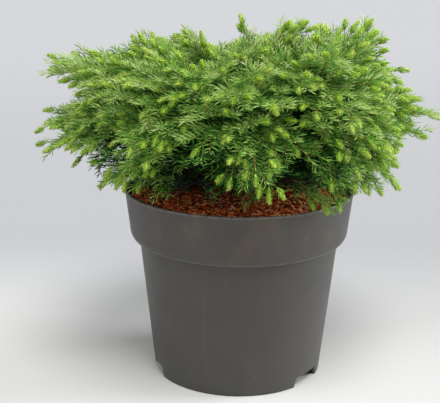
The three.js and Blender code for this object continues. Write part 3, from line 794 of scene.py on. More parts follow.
def make_chips():
    """Chips in a sunflower spread over the medium, those that reach past its edge drawn in by as much, and
    a few crumbs on the rim at the front right. The further back a chip lies, the darker its tone, as painted
    shade."""
    number = np.arange(CHIP["count"])
    pick = lambda which, turn: draw(which, turn, "chip_spot")
    edge = soil_edge_radius() - CHIP["clear_of_wall"]
    radius = np.sqrt(between(CHIP["clear_of_stem"] ** 2, edge ** 2, (number + 0.5) / len(number)))
    turn = number * GOLDEN + either_way(CHIP["loose_turn"], pick(number, 1))
    radius = np.minimum(radius + either_way(CHIP["loose_radius"], pick(number, 2)), edge)
    x, y = radius * np.cos(turn), radius * np.sin(turn)
    bed = np.stack((x, y, soil_height(x, y)), axis=-1)
    bed_points = chip_points(number, bed, between(*CHIP["lift"], pick(number, 3)))
    past_edge = radius_of(bed_points).max(axis=1) - soil_edge_radius()
    bed_points[..., :2] -= (bed[:, :2] / radius[:, None] * np.maximum(past_edge, 0)[:, None])[:, None]
    crumb = np.arange(CRUMBS["count"])
    angle = np.radians(between(*CRUMBS["turns"], pick(crumb, 4)))
    rim = POT["rim_radius"] - between(*CRUMBS["from_rim"], pick(crumb, 5))
    on_rim = polar(rim, angle, POT["height"])
    rim_points = chip_points(crumb + len(number), on_rim, np.zeros(len(crumb)))
    rim_points = on_rim[:, None] + (rim_points - on_rim[:, None]) * CRUMBS["size"]
    points = np.concatenate((bed_points, rim_points))
    # Painted shade: from the front of the stem backwards, chips take darker tones
    painted_shade = smooth_step(*CHIP["painted_shade"], points[:, 0, 1])
    choice = draw(np.arange(len(points)), 6, "shade") * (1 - CHIP["shade_darker"] * painted_shade)
    tints = np.repeat(np.searchsorted(CHIP_SHARES, choice), len(CHIP_FACES))
    faces = many_times(CHIP_FACES, len(points), len(CHIP_CORNERS))
    finishes = plain_finishes(CHIP_TONES, CHIP["roughness"])
    piece = make_piece("mulch_chips", points, [faces], finishes, tints, smooth=False)
    return fitted(piece, "bark_mulch", "growing_medium")


# Branches, by the source's rule

@dataclass
class Shoots:
    """Many curved axes at once. The point at share t of an axis is root + length·(t·along + t²·bend), its
    face is the direction that its upper side turns to, and lit is 1 where it stands out in the light."""

    root: np.ndarray
    along: np.ndarray
    face: np.ndarray
    bend: np.ndarray
    length: np.ndarray
    mass: np.ndarray
    lit: np.ndarray

    def __len__(self):
        return len(self.length)

    def keep(self, chosen):
        """The shoots that are chosen, by a mask or by their numbers."""
        return Shoots(*(part[chosen] for part in vars(self).values()))

    def cut(self, share):
        """Each shoot's first stretch, up to a share of its length: both its length and its bend become
        that share of what they were."""
        return replace(self, bend=self.bend * share[:, None], length=self.length * share)

    def point(self, owner, share):
        """The points at given shares of the numbered shoots."""
        reach = (self.length[owner] * share)[..., None]
        return self.root[owner] + reach * (self.along[owner] + share[..., None] * self.bend[owner])

    def frame(self, owner, share):
        """The direction along, the direction to the side and the upward direction there."""
        along = unit(self.along[owner] + 2 * share[..., None] * self.bend[owner])
        side = unit(np.cross(self.face[owner], along))
        return along, side, np.cross(along, side)


def all_of(groups):
    """Several sets of shoots as one set."""
    return Shoots(*(np.concatenate(parts) for parts in zip(*(vars(group).values() for group in groups))))


def stem_centre(height):
    """The stem's middle line: upright at foot and tip, leaning by a smooth step in between."""
    bow = smooth_step(0, 1, np.asarray(height) / STEM["length"])
    return np.stack((STEM["lean"][0] * bow, STEM["lean"][1] * bow, SOIL_SEAT + GAP + height), axis=-1)


def branch_curves():
    """Each branch of each tier as a curve with three control points: root on the stem, arch and tip."""
    tiers, names, curves = [], [], []
    for tier in TIERS:
        for number in range(tier["count"]):
            mass = len(curves)
            loose = BRANCH["loose_turn"] * (draw(mass, 0, "azimuth") - 0.5)
            azimuth = math.radians(tier["turn"] + (number + loose) * 360 / tier["count"])
            root = stem_centre(tier["root"] + (number % 2) * BOUGH["stagger"])
            out = np.array([math.cos(azimuth), math.sin(azimuth), 0.0])
            reach = tier["reach"] * between(BRANCH["shortest"], 1, draw(mass, 0, "reach"))
            loft = either_way(BRANCH["loose_lift"], draw(mass, 0, "lift"))
            lift = loft + CROWN["tilt"] * reach * out[0]
            arch = out * reach * BRANCH["arch_out"]
            arch[2] = tier["arch"] + lift * BRANCH["arch_lift"]
            tip = out * reach
            tip[2] = tier["tip"] + lift
            curves.append((root, arch, tip))
            tiers.append(tier)
            names.append(f"{tier['name']}_{number + 1}")
    return tiers, names, np.array(curves)


TIER_OF, NAMES, CURVES = branch_curves()
MASSES = np.arange(len(NAMES))
BOUGH_END = np.array([tier["bough"] for tier in TIER_OF])
DROOP = np.array([tier["droop"] for tier in TIER_OF])
OVER = np.array([tier["over"] for tier in TIER_OF])


def stretch_of_branches(start, end):
    """The stretch of every branch between two shares of its curve, as shoots. With root, arch and tip as
    R, A and T, the curve is R + 2t(A - R) + t²(R - 2A + T)."""
    root, arch, tip = np.moveaxis(CURVES, 1, 0)
    start, end = (np.broadcast_to(share, len(MASSES))[:, None] for share in (start, end))
    twice = root - 2 * arch + tip
    slope = 2 * (arch - root) + 2 * start * twice
    place = root + 2 * start * (arch - root) + start ** 2 * twice
    step = (end - start) * slope
    length = np.linalg.norm(step, axis=1)
    bend = (end - start) ** 2 * twice / length[:, None]
    face = np.broadcast_to(UP, place.shape)
    return Shoots(place, step / length[:, None], face, bend, length, MASSES, np.zeros(len(MASSES)))


SITES = stretch_of_branches(BOUGH_END, MASS_STEM_END).point(MASSES, np.full(len(MASSES), SITE_AT))


def groove_share(spots):
    """How deep a spot lies in the upright grooves between the fans of shoots: bell curves of the azimuth
    round the middle of each groove, which fade out high up and near the crown's middle."""
    grooves = bells(azimuth_of(spots), GROOVES["turns"], GROOVES["widths"], GROOVES["shares"])
    wide = radius_of(spots) / CROWN["across"]
    low = 1 - smooth_step(*GROOVES["fade"], spots[..., 2])
    return grooves * low * smooth_step(*GROOVES["starts"], wide)


def crown_measure(spots):
    """How far out a spot is: 0 in the middle of the crown and 1 on its outline, a flattened ball whose
    level and upright shares are raised to one power and added. The ball's top follows heights at stations
    from left to right, with a shallow cleft left of the middle and a steep right shoulder, and falls to the
    back. Level dents at the left, smooth noise and the upright grooves between the fans are added."""
    middle = CROWN["middle"] + CROWN["tilt"] * spots[..., 0]
    top = np.interp(spots[..., 0], CROWN_STATIONS, CROWN_TOPS)
    top = top - CROWN["back_fall"] * np.clip(spots[..., 1], 0, None)
    rise = spots[..., 2] - middle
    tall = np.abs(rise) / np.where(rise > 0, np.maximum(top - middle, CROWN["least_rise"]), CROWN["down"])
    wide = radius_of(spots) / CROWN["across"]
    ball = (wide ** CROWN["square"] + tall ** CROWN["square"]) ** (1 / CROWN["square"])
    dents = bells(spots[..., 2], DENTS["heights"], DENTS["widths"], DENTS["depths"])
    dents = dents * smooth_step(DENTS["from"], DENTS["to"], -spots[..., 0])
    lobes = np.clip(lumps(spots, LOBES["size"], LOBES["seed"]), LOBES["least"], 1)
    return ball + dents + LOBES["depth"] * lobes + GROOVES["depth"] * groove_share(spots)


def space_left(spots, mass):
    """How far a spot lies inside its mass's own space: the least distance to the planes half way between
    the mass's site and the other sites, below zero outside."""
    own = SITES[mass]
    apart = SITES[None] - own[:, None]
    distance = np.linalg.norm(apart, axis=-1)
    middle = (SITES[None] + own[:, None]) / 2
    past = np.einsum("nki,nki->nk", spots[:, None] - middle, apart) / np.maximum(distance, TINY)
    past[np.arange(len(mass)), mass] = -1
    return -past.max(axis=1)


def underside(spots):
    """The lowest that foliage hangs: just over the rim near the pot, rising outwards from there and more so
    at the left and right, uneven in clumps, and higher at the front, where bell curves of the azimuth make
    hollows and a curtain."""
    radius = radius_of(spots)
    rise = FRINGE["slope"] * np.clip(radius - FRINGE["from"], 0, None)
    right = FRINGE["right_slope"] * np.clip(spots[..., 0] - FRINGE["side_from"], 0, None)
    left = FRINGE["left_slope"] * np.clip(-spots[..., 0] - FRINGE["side_from"], 0, None)
    clumps = FRINGE["clumps"] * lumps(spots * LEVEL, FRINGE["clump_size"], FRINGE["clump_seed"])
    hollows = bells(azimuth_of(spots), FRINGE["bell_turns"], FRINGE["bell_widths"], FRINGE["bells"])
    forward = FRINGE["front"] * frontness(spots) + hollows
    return FRINGE["lowest"] + rise + right + left + clumps + forward * smooth_step(*FRINGE["starts"], radius)


def kept_inside(shoots, rule, reach, hang):
    """Shoots cut at the last place where they are inside the crown's outline, above its underside and in
    their mass's space, and dropped where less than the rule's shortest length is left."""
    steps = np.linspace(TRIM["from"], 1, TRIM["steps"])
    owner = np.repeat(np.arange(len(shoots)), len(steps))
    spots = shoots.point(owner, np.tile(steps, len(shoots)))
    reach, hang = (np.broadcast_to(limit, len(shoots))[owner] for limit in (reach, hang))
    inside = (crown_measure(spots) < reach) & (spots[:, 2] > underside(spots) - hang)
    inside &= space_left(spots, shoots.mass[owner]) > -rule["border"]
    allowed = np.max(np.where(inside.reshape(-1, len(steps)), steps, 0), axis=1)
    cut = shoots.cut(np.maximum(allowed, TRIM["least"]))
    return cut.keep(cut.length > rule["shortest"])


def seats(shoots, spacing, start, end):
    """Evenly spaced places along each shoot: which shoot, which place on it, and its share of the length."""
    counts = np.maximum(np.round(shoots.length * (end - start) / spacing), 1).astype(int)
    owner = np.repeat(np.arange(len(counts)), counts)
    number = np.arange(len(owner)) - np.repeat(np.cumsum(counts) - counts, counts)
    share = start + (end - start) * (number + 0.5) / counts[owner]
    return owner, number, share


def planned(limbs, plan, longest):
    """Shoots from rows of limb, number, share of the limb, turn to the side, raise, and share of the tier's
    arching over. They bend outwards and by their tier's droop, further down at the front, and each is
    rolled a little round itself."""
    limb, number, share, turn, raised, standing = np.array(plan).T
    limb = limb.astype(int)
    turn, raised = np.radians(turn)[:, None], np.radians(raised)[:, None]
    forward, side, lift = limbs.frame(limb, share)
    along = forward * np.cos(turn) * np.cos(raised) - side * np.sin(turn) * np.cos(raised)
    along = along + lift * np.sin(raised)
    rolled = np.radians(either_way(ROLL, draw(limb, number, "roll")))
    face = unit(lift - forward * np.sin(raised))
    face = turned(face, np.cross(along, face), rolled)
    root = limbs.point(limb, share)
    out = unit(root * LEVEL)
    bend = out * (SWEEP["out"] + SWEEP["standing_out"] * standing * OVER[limb])[:, None]
    ahead = np.clip(-out[:, 1], 0, 1) ** 2 * SWEEP["front_droop"]
    ahead = ahead * np.where(DROOP[limb] < SWEEP["low_tiers"], 1, SWEEP["upper_droop"])
    loose = either_way(SWEEP["loose"], draw(limb, number, "bend"))
    bend[:, 2] += DROOP[limb] - ahead - standing * OVER[limb] + loose
    length = longest * between(SWEEP["shortest"], 1, draw(limb, number, "length"))
    return Shoots(root, unit(along), face, bend, length, limb, np.zeros(len(limb)))


def first_shoots(stems):
    """The first shoots of each mass by the source's plan: one at the stem's end, some to both sides, some
    standing up and some hanging down, each turned from the stem by its own spread, raise and roll. The
    standing ones arch over outwards, the more so the lower their tier."""
    plan = []
    for mass, tier in enumerate(TIER_OF):
        pick = lambda shoot, kind: draw(mass, shoot, kind)
        plan.append((mass, 0, END_AT, 0, 0, 0))
        for shoot in range(1, tier["side"] + 1):
            share = between(SIDE["from"], SIDE["to"], (shoot - 1) / (tier["side"] - 1))
            spread = SIDE["spread"] + either_way(SIDE["loose"] / 2, pick(shoot, "side_spread"))
            raised = between(*SIDE["raise"], pick(shoot, "side_raise"))
            plan.append((mass, shoot, share, spread if shoot % 2 else -spread, raised, 0))
        for shoot in range(1, tier["upper"] + 1):
            share = between(UPPER["from"], UPPER["to"], shoot / tier["upper"])
            turn = either_way(UPPER["turn"], pick(shoot, "upper_turn"))
            raised = between(*UPPER["raise"], pick(shoot, "upper_raise"))
            plan.append((mass, tier["side"] + shoot, share, turn, raised, 1))
        for shoot in range(1, tier["lower"] + 1):
            turn = either_way(LOWER["turn"], pick(shoot, "lower_turn"))
            plan.append((mass, tier["side"] + tier["upper"] + shoot, LOWER["at"], turn, LOWER["raise"], 0))
    return planned(stems, plan, SPRAY_LENGTH)


def filling_shoots(limbs):
    """Further shoots along limbs, to the left and right in turn, up and down. The steep ones arch over."""
    plan = []
    for limb in range(len(limbs)):
        for shoot in range(INNER["count"]):
            share = between(INNER["from"], INNER["to"], (shoot + 0.5) / INNER["count"])
            number = INNER["numbered_from"] + shoot
            turn = between(*INNER["turn"], draw(limb, number, "inner_turn"))
            raised = between(*INNER["raise"], draw(limb, number, "inner_raise"))
            standing = INNER["standing"] if raised > INNER["standing_above"] else 0
            plan.append((limb, number, share, turn if shoot % 2 else -turn, raised, standing))
    return planned(limbs, plan, INNER["length"])


def outline_sites():
    """Places spread evenly over the crown's outline: a golden spiral of directions from its middle, each
    followed outwards to where the measure is 1 by halving the range that holds it. A site stands a little
    inside or outside the outline, and a few stand further out."""
    number = np.arange(ARMS["count"])
    rise = between(*ARMS["rises"], (number + 0.5) / len(number))
    way = polar(np.sqrt(1 - rise ** 2), number * GOLDEN, rise * ARMS["flat"])
    middle = UP * CROWN["middle"]
    low, high = np.zeros(len(number)), np.full(len(number), SEARCH["reach"])
    for _ in range(SEARCH["halvings"]):
        half = (low + high) / 2
        outside = crown_measure(middle + way * half[:, None]) > 1
        low, high = np.where(outside, low, half), np.where(outside, half, high)
    stand = between(*ARMS["stand"], draw(number, 4, "margin"))
    stand = stand + ARMS["further"] * (draw(number, 5, "margin") < ARMS["further_share"])
    return middle + way * (low * stand)[:, None]


def arms(limbs):
    """Long first shoots that reach evenly over the crown: each site on its outline gets one from the limb
    of the mass whose space lies just above it. It leaves that limb some way before the nearest place and
    arches over, so that it ends at the site, outwards and downwards low on the crown and upwards high."""
    sites = np.concatenate((outline_sites(), LEADERS))
    number = np.arange(len(sites))
    limb = np.argmin(np.linalg.norm(sites[:, None] + UP * ARMS["above"] - SITES[None], axis=-1), axis=1)
    places = np.linspace(ARMS["from"], 1, SEARCH["places"])
    owner = np.repeat(limb[:, None], len(places), axis=1)
    apart = limbs.point(owner, np.broadcast_to(places, owner.shape)) - sites[:, None]
    nearest = places[np.argmin(np.linalg.norm(apart, axis=-1), axis=1)]
    back = ARMS["back"] * between(*ARMS["loose_back"], draw(number, 1, "inner_turn"))
    root = limbs.point(limb, np.clip(nearest - back / limbs.length[limb], ARMS["from"], 1))
    length = np.linalg.norm(sites - root, axis=1)
    way = (sites - root) / length[:, None]
    out = unit(sites * LEVEL)
    aside = np.cross(limbs.frame(limb, np.ones(len(limb)))[0], out)[:, 2]
    fan = ARMS["fan"] * np.clip(np.degrees(aside) / ARMS["fan_over"], -1, 1)
    fan = np.radians(fan + either_way(ARMS["loose_fan"], draw(number, 3, "bend")))
    slope = np.interp(sites[:, 2], ARMS["heights"], ARMS["slopes"])
    slope = np.maximum(slope + ARMS["front_slope"] * out[:, 1] ** 2, ARMS["steepest"])
    slope = np.radians(slope + either_way(ARMS["loose_slope"], draw(number, 2, "bend")))
    level = turned(out, np.cross(UP, out), fan)
    bend = ARMS["turning"] * (turned(level, UP, slope) - way)
    face = unit(UP + ARMS["face_out"] * out)
    leader = number >= ARMS["count"]
    made = Shoots(root, way - bend, face, bend, length - ARMS["growth"], limb, leader.astype(float))
    return made.keep((length < ARMS["longest"]) | leader)


def side_shoots(parents, rule):
    """Finer shoots on each parent, left and right in turn with every sixth on its upper side, long near
    the parent's foot and short near its tip. They bend a little towards the parent's own direction, and
    up or down as their tier does."""
    seed = rule["seed"]
    owner, number, share = seats(parents, rule["spacing"], rule["from"], rule["to"])
    along, side, lift = parents.frame(owner, share)
    pick = lambda kind: draw(owner + seed * 0.37, number, kind, seed)
    hand = np.where(number % 2 == 0, 1.0, -1.0)
    around = np.radians(hand * TWIG["to_side"] + either_way(TWIG["loose_side"], pick("around")))
    on_top = np.radians(either_way(TWIG["loose_top"], pick("around")))
    around = np.where(number % TWIG["top_each"] == TWIG["top_each"] - 1, on_top, around)
    spread = np.radians(rule["spread"] + either_way(TWIG["loose_spread"], pick("spread")))
    direction = turned(along, turned(lift, side, around), spread)
    length = parents.length[owner] * between(*rule["lengths"], share)
    length = np.minimum(length * between(*TWIG["loose_length"], pick("length")), TWIG["longest"])
    bend = TWIG["turning"] * (along - direction * np.sum(along * direction, axis=-1, keepdims=True))
    bend[:, 2] += either_way(TWIG["loose_bend"], pick("bend")) + DROOP[parents.mass[owner]]
    root = parents.point(owner, share)
    return Shoots(root, unit(direction), lift, bend, length, parents.mass[owner], parents.lit[owner])


def grow_foliage():
    """Mass stems, first shoots and two finer orders of twigs, all kept inside the crown. How far a shoot may
    hang is a high power of its draw, so that few hang low, and those that stand out may hang lowest."""
    stems = stretch_of_branches(BOUGH_END - BOUGH["overlap"], MASS_STEM_END)
    boughs = stretch_of_branches(0.0, BOUGH_END)
    limbs = stretch_of_branches(0.0, MASS_STEM_END)
    pick = lambda group, kind, turn: draw(group.mass * 3.7 + turn, np.arange(len(group)), kind)

    rule = INNER_ORDER
    inner = all_of((first_shoots(stems), filling_shoots(boughs)))
    hang = np.where(DROOP[inner.mass] < rule["skirt_droop"], rule["skirt_hang"], rule["hang"])
    inner = kept_inside(inner, rule, between(*rule["reach"], pick(inner, "margin", 3)), hang)

    rule = ARM_ORDER
    outer = arms(limbs)
    hang = rule["hang"] * pick(outer, "hang", 1) ** 5 + rule["leader_hang"] * outer.lit
    first = all_of((inner, kept_inside(outer, rule, rule["reach"], hang)))

    rule = SECOND_ORDER
    second = side_shoots(first, rule)
    hang = rule["least_hang"] + rule["hang"] * pick(second, "hang", 2) ** 4 + rule["leader_hang"] * second.lit
    reach = between(*rule["reach"], pick(second, "margin", 2))
    reach = np.maximum(reach, crown_measure(second.root) + rule["past_root"])
    second = kept_inside(second, rule, reach, hang)

    rule = THIRD_ORDER
    third = side_shoots(second.keep(second.length > rule["parents_over"]), rule)
    reach = rule["reach"] + rule["leader_reach"] * third.lit
    third = kept_inside(third, rule, reach, rule["hang"] + rule["leader_hang"] * third.lit)
    return stems, first, second, third


def tube_points(shoots, rings, sides, radius_at, relief=None):
    """Round tubes along shoots: at each of the rings a circle of the given radius across the axis, then a
    point at each end. The radius function gets the share; the relief function moves the radius."""
    turn = circle(sides)
    owner = np.repeat(np.arange(len(shoots))[:, None], rings, axis=1)
    grid = np.broadcast_to(np.linspace(0, 1, rings), owner.shape)
    centre = shoots.point(owner, grid)
    along, side, lift = shoots.frame(owner, grid)
    radius = np.broadcast_to(radius_at(grid), grid.shape)[..., None, None]
    spoke = turned(side[:, :, None], lift[:, :, None], turn)
    surface = centre[:, :, None] + spoke * radius
    if relief is not None:
        surface = surface + spoke * relief(surface)[..., None]
    ends = np.stack((centre[:, 0], centre[:, -1] + along[:, -1] * radius[:, -1, 0]), axis=1)
    points = np.concatenate((surface.reshape(len(shoots), -1, 3), ends), axis=1)
    return points, *closed_faces(rings, sides)


def many_tubes(groups):
    """The points, four-sided faces and triangles of several sets of tubes, numbered one after another."""
    points, quads, triangles, start = [], [], [], 0
    for made, walls, caps in groups:
        quads.append(many_times(walls, len(made), made.shape[1]) + start)
        triangles.append(many_times(caps, len(made), made.shape[1]) + start)
        points.append(made.reshape(-1, 3))
        start += made.shape[0] * made.shape[1]
    return np.concatenate(points), np.concatenate(quads), np.concatenate(triangles)


def bark_relief(depth, seed):
    """Scales and furrows: two sizes of lumps, drawn out along the limb's height."""
    layers = ((*BARK_LAYERS["large"], seed), (*BARK_LAYERS["small"], seed + 1))
    return lambda surface: depth * unevenness(surface * BARK_LAYERS["drawn_out"], layers)


def make_stem():
    """The stem: level rings round the leaning line, with a radius that follows its taper, a flare with five
    low buttresses at the foot, and bark relief that fades out at the flat cut."""
    share = np.linspace(0, 1, STEM["rings"])
    turn = circle(STEM["sides"])
    centre = stem_centre(share * STEM["length"])
    radius = np.interp(share, STEM_SHARES, STEM_RADII)[:, None]
    flare = FLARE["depth"] * np.exp(-share / FLARE["fade"])[:, None]
    flare = flare * np.cos(FLARE["buttresses"] * turn + FLARE["turn"])
    ring = polar(1, turn, 0)
    surface = centre[:, None] + ring * (radius * (1 + flare))[..., None]
    scales = bark_relief(STEM["scales"], STEM["bark_seed"])(surface)
    scales = scales * smooth_step(0, STEM["smooth_foot"], share)[:, None]
    surface = surface + ring * scales[..., None]
    points = np.concatenate((surface.reshape(-1, 3), centre[[0, -1]]))
    piece = make_piece("stem_bark", points, closed_faces(len(share), len(turn)), [BARK])
    return fitted(piece, "spruce_bark", "stem")


def make_boughs():
    """The boughs: round tubes that taper evenly from the stem to the mass that each carries."""
    boughs = stretch_of_branches(0.0, BOUGH_END + BOUGH["overlap"])
    taper = lambda share: between(BOUGH["root_radius"], BOUGH["tip_radius"], share)
    relief = bark_relief(BOUGH["scales"], BOUGH["bark_seed"])
    points, *faces = many_tubes([tube_points(boughs, BOUGH["rings"], BOUGH["sides"], taper, relief)])
    piece = make_piece("bough_bark", points, faces, [BARK])
    return fitted(piece, "spruce_bark", *(f"bough_{name}" for name in NAMES))


# Needles

NEEDLE_FACES = np.array([(0, 1, 2), (3, 2, 1), (0, 3, 1), (0, 2, 3)])


def needle_points(root, direction, outward, length, radius):
    """A keeled needle of four faces: a point at its root, one to each side of its widest place, raised
    outwards over the keel that runs from the root to the tip, and a point at its tip."""
    widest = root + direction * (NEEDLE["widest"] * length)[:, None]
    middle = widest + outward * (NEEDLE["keel"] * length)[:, None]
    aside = unit(np.cross(direction, outward)) * radius[:, None]
    tip = root + direction * length[:, None]
    return np.stack((root, middle + aside, middle - aside, tip), axis=1)


def old_needles(shoots, rule, seed, spacing, radius):
    """Needles in rows along each shoot, most to both sides and some laid forward on top, few beneath. They
    stand off more at the shoot's foot than at its tip, and are longest in its middle by a sine of the
    share."""
    owner, number, share = seats(shoots, spacing, rule["start"], 1.0)
    along, side, lift = shoots.frame(owner, share)
    pick = lambda kind: draw(owner * 1.31 + seed, number, kind, seed)
    row = NEEDLE_TURNS[number % len(NEEDLE_TURNS)]
    outward = turned(lift, side, np.radians(row + either_way(NEEDLE["loose_row"], pick("around"))))
    stand = between(*NEEDLE["stand"], share) - NEEDLE["forward_on_top"] * np.cos(np.radians(row))
    stand = np.radians(stand + either_way(NEEDLE["loose_stand"], pick("needle_turn")))
    direction = unit(turned(along, outward, stand))
    swell = np.sin(np.pi * np.clip(share, *NEEDLE["longer_within"]))
    length = rule["size"] * (NEEDLE["length"] + NEEDLE["middle_longer"] * swell)
    length = length * between(*NEEDLE["loose_length"], pick("needle_length"))
    root = shoots.point(owner, share) + outward * NEEDLE["off_bark"]
    beneath = np.abs(row) > NEEDLE["beneath"]
    return owner, share, beneath, needle_points(root, direction, outward, length, radius[owner])


def openness(shoots, at, darkening=1.0):
    """How lit a place on each shoot is: the crown's measure, less some low down, more under the crown and
    some in the grooves, all three times the darkening, but much less of it where the shoot stands out."""
    spots = shoots.point(np.arange(len(shoots)), np.full(len(shoots), at))
    low = 1 - smooth_step(*SHADE["low"], spots[:, 2] - SHADE["front"] * frontness(spots))
    under = low * (1 - smooth_step(*SHADE["under"], radius_of(spots)))
    grooves = (GROOVES["depth"] + GROOVES["dark"]) * groove_share(spots)
    dark = darkening * (grooves + SHADE["low_by"] * low + SHADE["under_by"] * under)
    return crown_measure(spots) - dark * (1 - SHADE["standing_out"] * shoots.lit)


def regions():
    """The masses of each region of the crown whose foliage is joined into one piece of each kind."""
    made = {}
    for mass, tier in enumerate(TIER_OF):
        part = "front" if CURVES[mass, 2, 1] < 0 else "back"
        name = tier["name"] if tier["name"] == "crown" else f"{tier['name']}_{part}"
        made.setdefault(name, []).append(mass)
    return made


def club_swell(share):
    """A club's radius along its axis: a power of the sine of a share that starts and ends inside the half
    turn, so that the club is egg-shaped and open at neither end."""
    start, over = CLUB["egg"]
    return CLUB["radius"] * np.sin(np.pi * (start + over * share)) ** CLUB["blunt"]


def new_growth(shoots, seed):
    """A pale club at the end of a shoot: a closed egg-shaped core with short soft spikes laid forward
    round it, standing off less and shorter towards its end. The spikes nearest the shoot, and each fourth
    one, take the greener, darker tone: partly the club's greener foot, partly painted shade between the
    spikes."""
    each = np.arange(len(shoots))
    ends = np.ones(len(shoots))
    along, _, lift = shoots.frame(each, ends)
    root = shoots.point(each, ends) - along * CLUB["back"]
    bend = UP * either_way(CLUB["loose_bend"], draw(each, seed, "bend"))[:, None]
    length = between(*CLUB["length"], draw(each, seed, "tip"))
    clubs = Shoots(root, along, lift, bend, length, shoots.mass, shoots.lit)
    core = tube_points(clubs, CLUB["rings"], CLUB["sides"], club_swell)
    owner = np.repeat(each, SPIKE["count"])
    number = np.tile(np.arange(SPIKE["count"]), len(shoots))
    share = SPIKE["from"] + SPIKE["over"] * (number + 0.5) / SPIKE["count"]
    ahead, across, up = clubs.frame(owner, share)
    outward = turned(across, up, number * GOLDEN + owner)
    direction = turned(ahead, outward, np.radians(between(*SPIKE["stand"], share)))
    loose = between(*SPIKE["loose_length"], draw(owner, number, "needle_length"))
    reach = between(*SPIKE["length"], share) * loose
    base = clubs.point(owner, share) + outward * (club_swell(share) * SPIKE["sunk"])[:, None]
    # Painted shade between the spikes, and the club's greener foot: these spikes take the darker green
    greener = (share < SPIKE["green_foot"]) | (number % 4 == 1)
    spikes = needle_points(base, direction, outward, reach, np.full(len(owner), SPIKE["radius"]))
    return core, owner, greener, spikes


def twigs_of(name, groups, finishes):
    """The mass stems and three orders of shoots as tapering tubes, a tone for each order, and a painted
    shade of near black brown for the mass stems and for every shoot deep in the crown's shade."""
    tubes, walls_tone, caps_tone = [], [], []
    for order, (group, (rings, sides, thick, thin)) in enumerate(zip(groups, TWIG_SHAPES, strict=True)):
        made, walls, caps = tube_points(group, rings, sides, lambda share: between(thick, thin, share))
        # Painted shade: shoots deep in shade take the near black brown, which the mass stems always have
        tint = np.where(openness(group, 0.5) < SHADE["twigs"], 0, order)
        tubes.append((made, walls, caps))
        walls_tone.append(np.repeat(tint, len(walls)))
        caps_tone.append(np.repeat(tint, len(caps)))
    points, *faces = many_tubes(tubes)
    return make_piece(f"twigs_{name}", points, faces, finishes, np.concatenate(walls_tone + caps_tone))


def needles_of(name, groups, seed, finishes):
    """The needles of three orders of shoots: sparse and thick deep inside, fine outside. Each spray takes a
    tone by how lit it is: painted shade darkens it deep inside, low down, under the crown and in the grooves,
    where older needles are also a darker green. Its end takes the next lighter tone for its new growth, and
    painted shade makes its foot and the needles beneath darker."""
    needles, shades = [], []
    for order, (group, rule) in enumerate(zip(groups, NEEDLE_ROWS, strict=True)):
        out = openness(group, SHADING["seen_at"])
        outside = smooth_step(*SHADING["outside"], out)
        spacing = rule["spacing"] * between(SHADING["sparser"], 1.0, outside)
        radius = between(NEEDLE["inner_radius"], NEEDLE["outer_radius"], outside)
        owner, share, beneath, made = old_needles(group, rule, order + 1, spacing, radius)
        pick = draw(np.arange(len(group)), seed + order, "shade")
        shade = np.floor((out - SHADING["from"]) * SHADING["steps"] + pick * SHADING["loose"])
        shade = np.clip(shade, 0, len(finishes) - 2)[owner]
        # Painted shade at the shoot's foot and on the needles beneath; the lighter end is its new growth
        shade = shade + (share > SHADING["end"]) - (share < SHADING["foot"]) - beneath
        needles.append(made)
        shades.append(np.clip(shade, 0, len(finishes) - 1).astype(int))
    needles = np.concatenate(needles)
    faces = many_times(NEEDLE_FACES, len(needles), 4)
    tints = np.repeat(np.concatenate(shades), len(NEEDLE_FACES))
    return make_piece(f"needles_{name}", needles, [faces], finishes, tints, smooth=False)


def clubs_of(name, groups, seed, finishes):
    """New growth at the ends of outer shoots: nearly all of the first, a fifth of the second and one in
    twenty of the third."""
    tipped = all_of(groups)
    out = openness(tipped, 1.0, CLUB["darkening"])
    likely = np.repeat(CLUB["shares"], [len(group) for group in groups])
    chance = draw(np.arange(len(tipped)), seed, "tip")
    tipped = tipped.keep((out > CLUB["open"]) & (chance < likely))
    core, owner, greener, spikes = new_growth(tipped, seed)
    core_points, quads, triangles = many_tubes([core])
    spike_faces = many_times(NEEDLE_FACES, len(spikes), 4) + len(core_points)
    light = np.where(draw(np.arange(len(tipped)), seed, "shade") < CLUB["lime"], 1, 2)
    tints = [np.repeat(light, len(part)) for part in core[1:]]
    tints.append(np.repeat(np.where(greener, 0, light[owner]), len(NEEDLE_FACES)))
    points = np.concatenate((core_points, spikes.reshape(-1, 3)))
    faces = [quads, triangles, spike_faces]
    return make_piece(f"new_growth_{name}", points, faces, finishes, np.concatenate(tints))


def make_foliage():
    """The twigs, needles and new growth of each region as three joined pieces."""
    everything = grow_foliage()
    needle_finishes = plain_finishes(NEEDLE_TONES, GREEN_ROUGHNESS)
    club_finishes = plain_finishes(CLUB_TONES, GREEN_ROUGHNESS)
    twig_finishes = plain_finishes(TWIG_TONES, TWIG_ROUGHNESS)
    for name, masses in regions().items():
        nodes = [f"foliage_{NAMES[mass]}" for mass in masses]
        own = [group.keep(np.isin(group.mass, masses)) for group in everything]
        twigs = twigs_of(name, own, twig_finishes)
        needles = needles_of(name, own[1:], masses[0], needle_finishes)
        clubs = clubs_of(name, own[1:], masses[0], club_finishes)
        fitted(twigs, "spruce_bark", *nodes)
        fitted(needles, "spruce_needles", *nodes)
        fitted(clubs, "spruce_needles", *nodes)


# Floor, light and camera

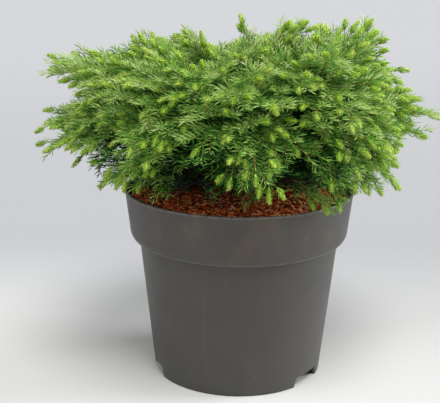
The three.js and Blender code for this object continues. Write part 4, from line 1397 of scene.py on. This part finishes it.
def make_floor():
    """A round level floor with a plain pale matt finish and painted shade: it darkens from just in front
    of the plant backwards, as light that falls off with distance. Its rings are closer near the middle, by
    the square of the share."""
    around, rings = FLOOR["around"], FLOOR["rings"]
    turn = circle(around)
    radius = np.linspace(FLOOR["inner"], 1, rings)[:, None] ** 2 * FLOOR["radius"]
    points = polar(radius, turn, -FLOOR["drop"]).reshape(-1, 3)
    points = np.concatenate((points, [(0, 0, -FLOOR["drop"])]))
    walls = grid_faces(rings, around)[:, ::-1]
    centre = pole_faces(0, around, rings * around, False)[:, ::-1]
    finish = Finish("floor_with_painted_shade", tone(222, 222, 222), 0.75, 0.3)
    # Painted shade: darker from the plant backwards, then a little lighter far away
    back = finish.along("Y")
    middle = finish.mix(finish.mask(back, -0.05, 0.55), tone(194, 194, 192), tone(157, 158, 161))
    finish.colour(finish.mix(finish.mask(back, 0.7, 3.5), middle, tone(165, 166, 169)))
    finish.rough(finish.noise(3, 2) * 0.1 + 0.7)
    make_piece("floor", points, [walls, centre], [finish.material])


def soft_light(name, place, strength, spread, tint):
    """A broad even light that shines from a place towards the plant, with soft shadows."""
    lamp = bpy.data.lights.new(name, "SUN")
    lamp.energy = strength
    lamp.angle = math.radians(spread)
    lamp.color = tint
    holder = bpy.data.objects.new(name, lamp)
    holder.rotation_euler = Vector(place).to_track_quat("Z", "Y").to_euler()
    bpy.context.collection.objects.link(holder)


def make_light():
    """Pale even room light, a broad light from above and in front, a weak one from the left, and one along
    the plant's right edge."""
    world = bpy.data.worlds.new("studio")
    bpy.context.scene.world = world
    world.use_nodes = True
    background = world.node_tree.nodes["Background"]
    background.inputs["Color"].default_value = WORLD["tint"]
    background.inputs["Strength"].default_value = WORLD["strength"]
    for light in LIGHTS:
        soft_light(*light)


def make_camera():
    """The picture's own camera: pitched down, rolled a little, with no shift."""
    lens = bpy.data.cameras.new("camera")
    lens.sensor_width = CAMERA["sensor"]
    lens.lens = CAMERA["focal_pixels"] / CAMERA["frame_width"] * CAMERA["sensor"]
    lens.clip_start = CAMERA["near"]
    lens.clip_end = CAMERA["far"]
    camera = bpy.data.objects.new("camera", lens)
    pitch = Matrix.Rotation(math.radians(90 - CAMERA["pitch"]), 4, "X")
    roll = Matrix.Rotation(math.radians(CAMERA["roll"]), 4, "Z")
    camera.matrix_world = Matrix.Translation(CAMERA["place"]) @ pitch @ roll
    bpy.context.collection.objects.link(camera)
    scene = bpy.context.scene
    scene.camera = camera
    scene.view_settings.view_transform = "Standard"


BARK = spruce_bark()
make_camera()
make_light()
make_floor()
make_pot()
make_medium()
make_chips()
make_stem()
make_boughs()
make_foliage()
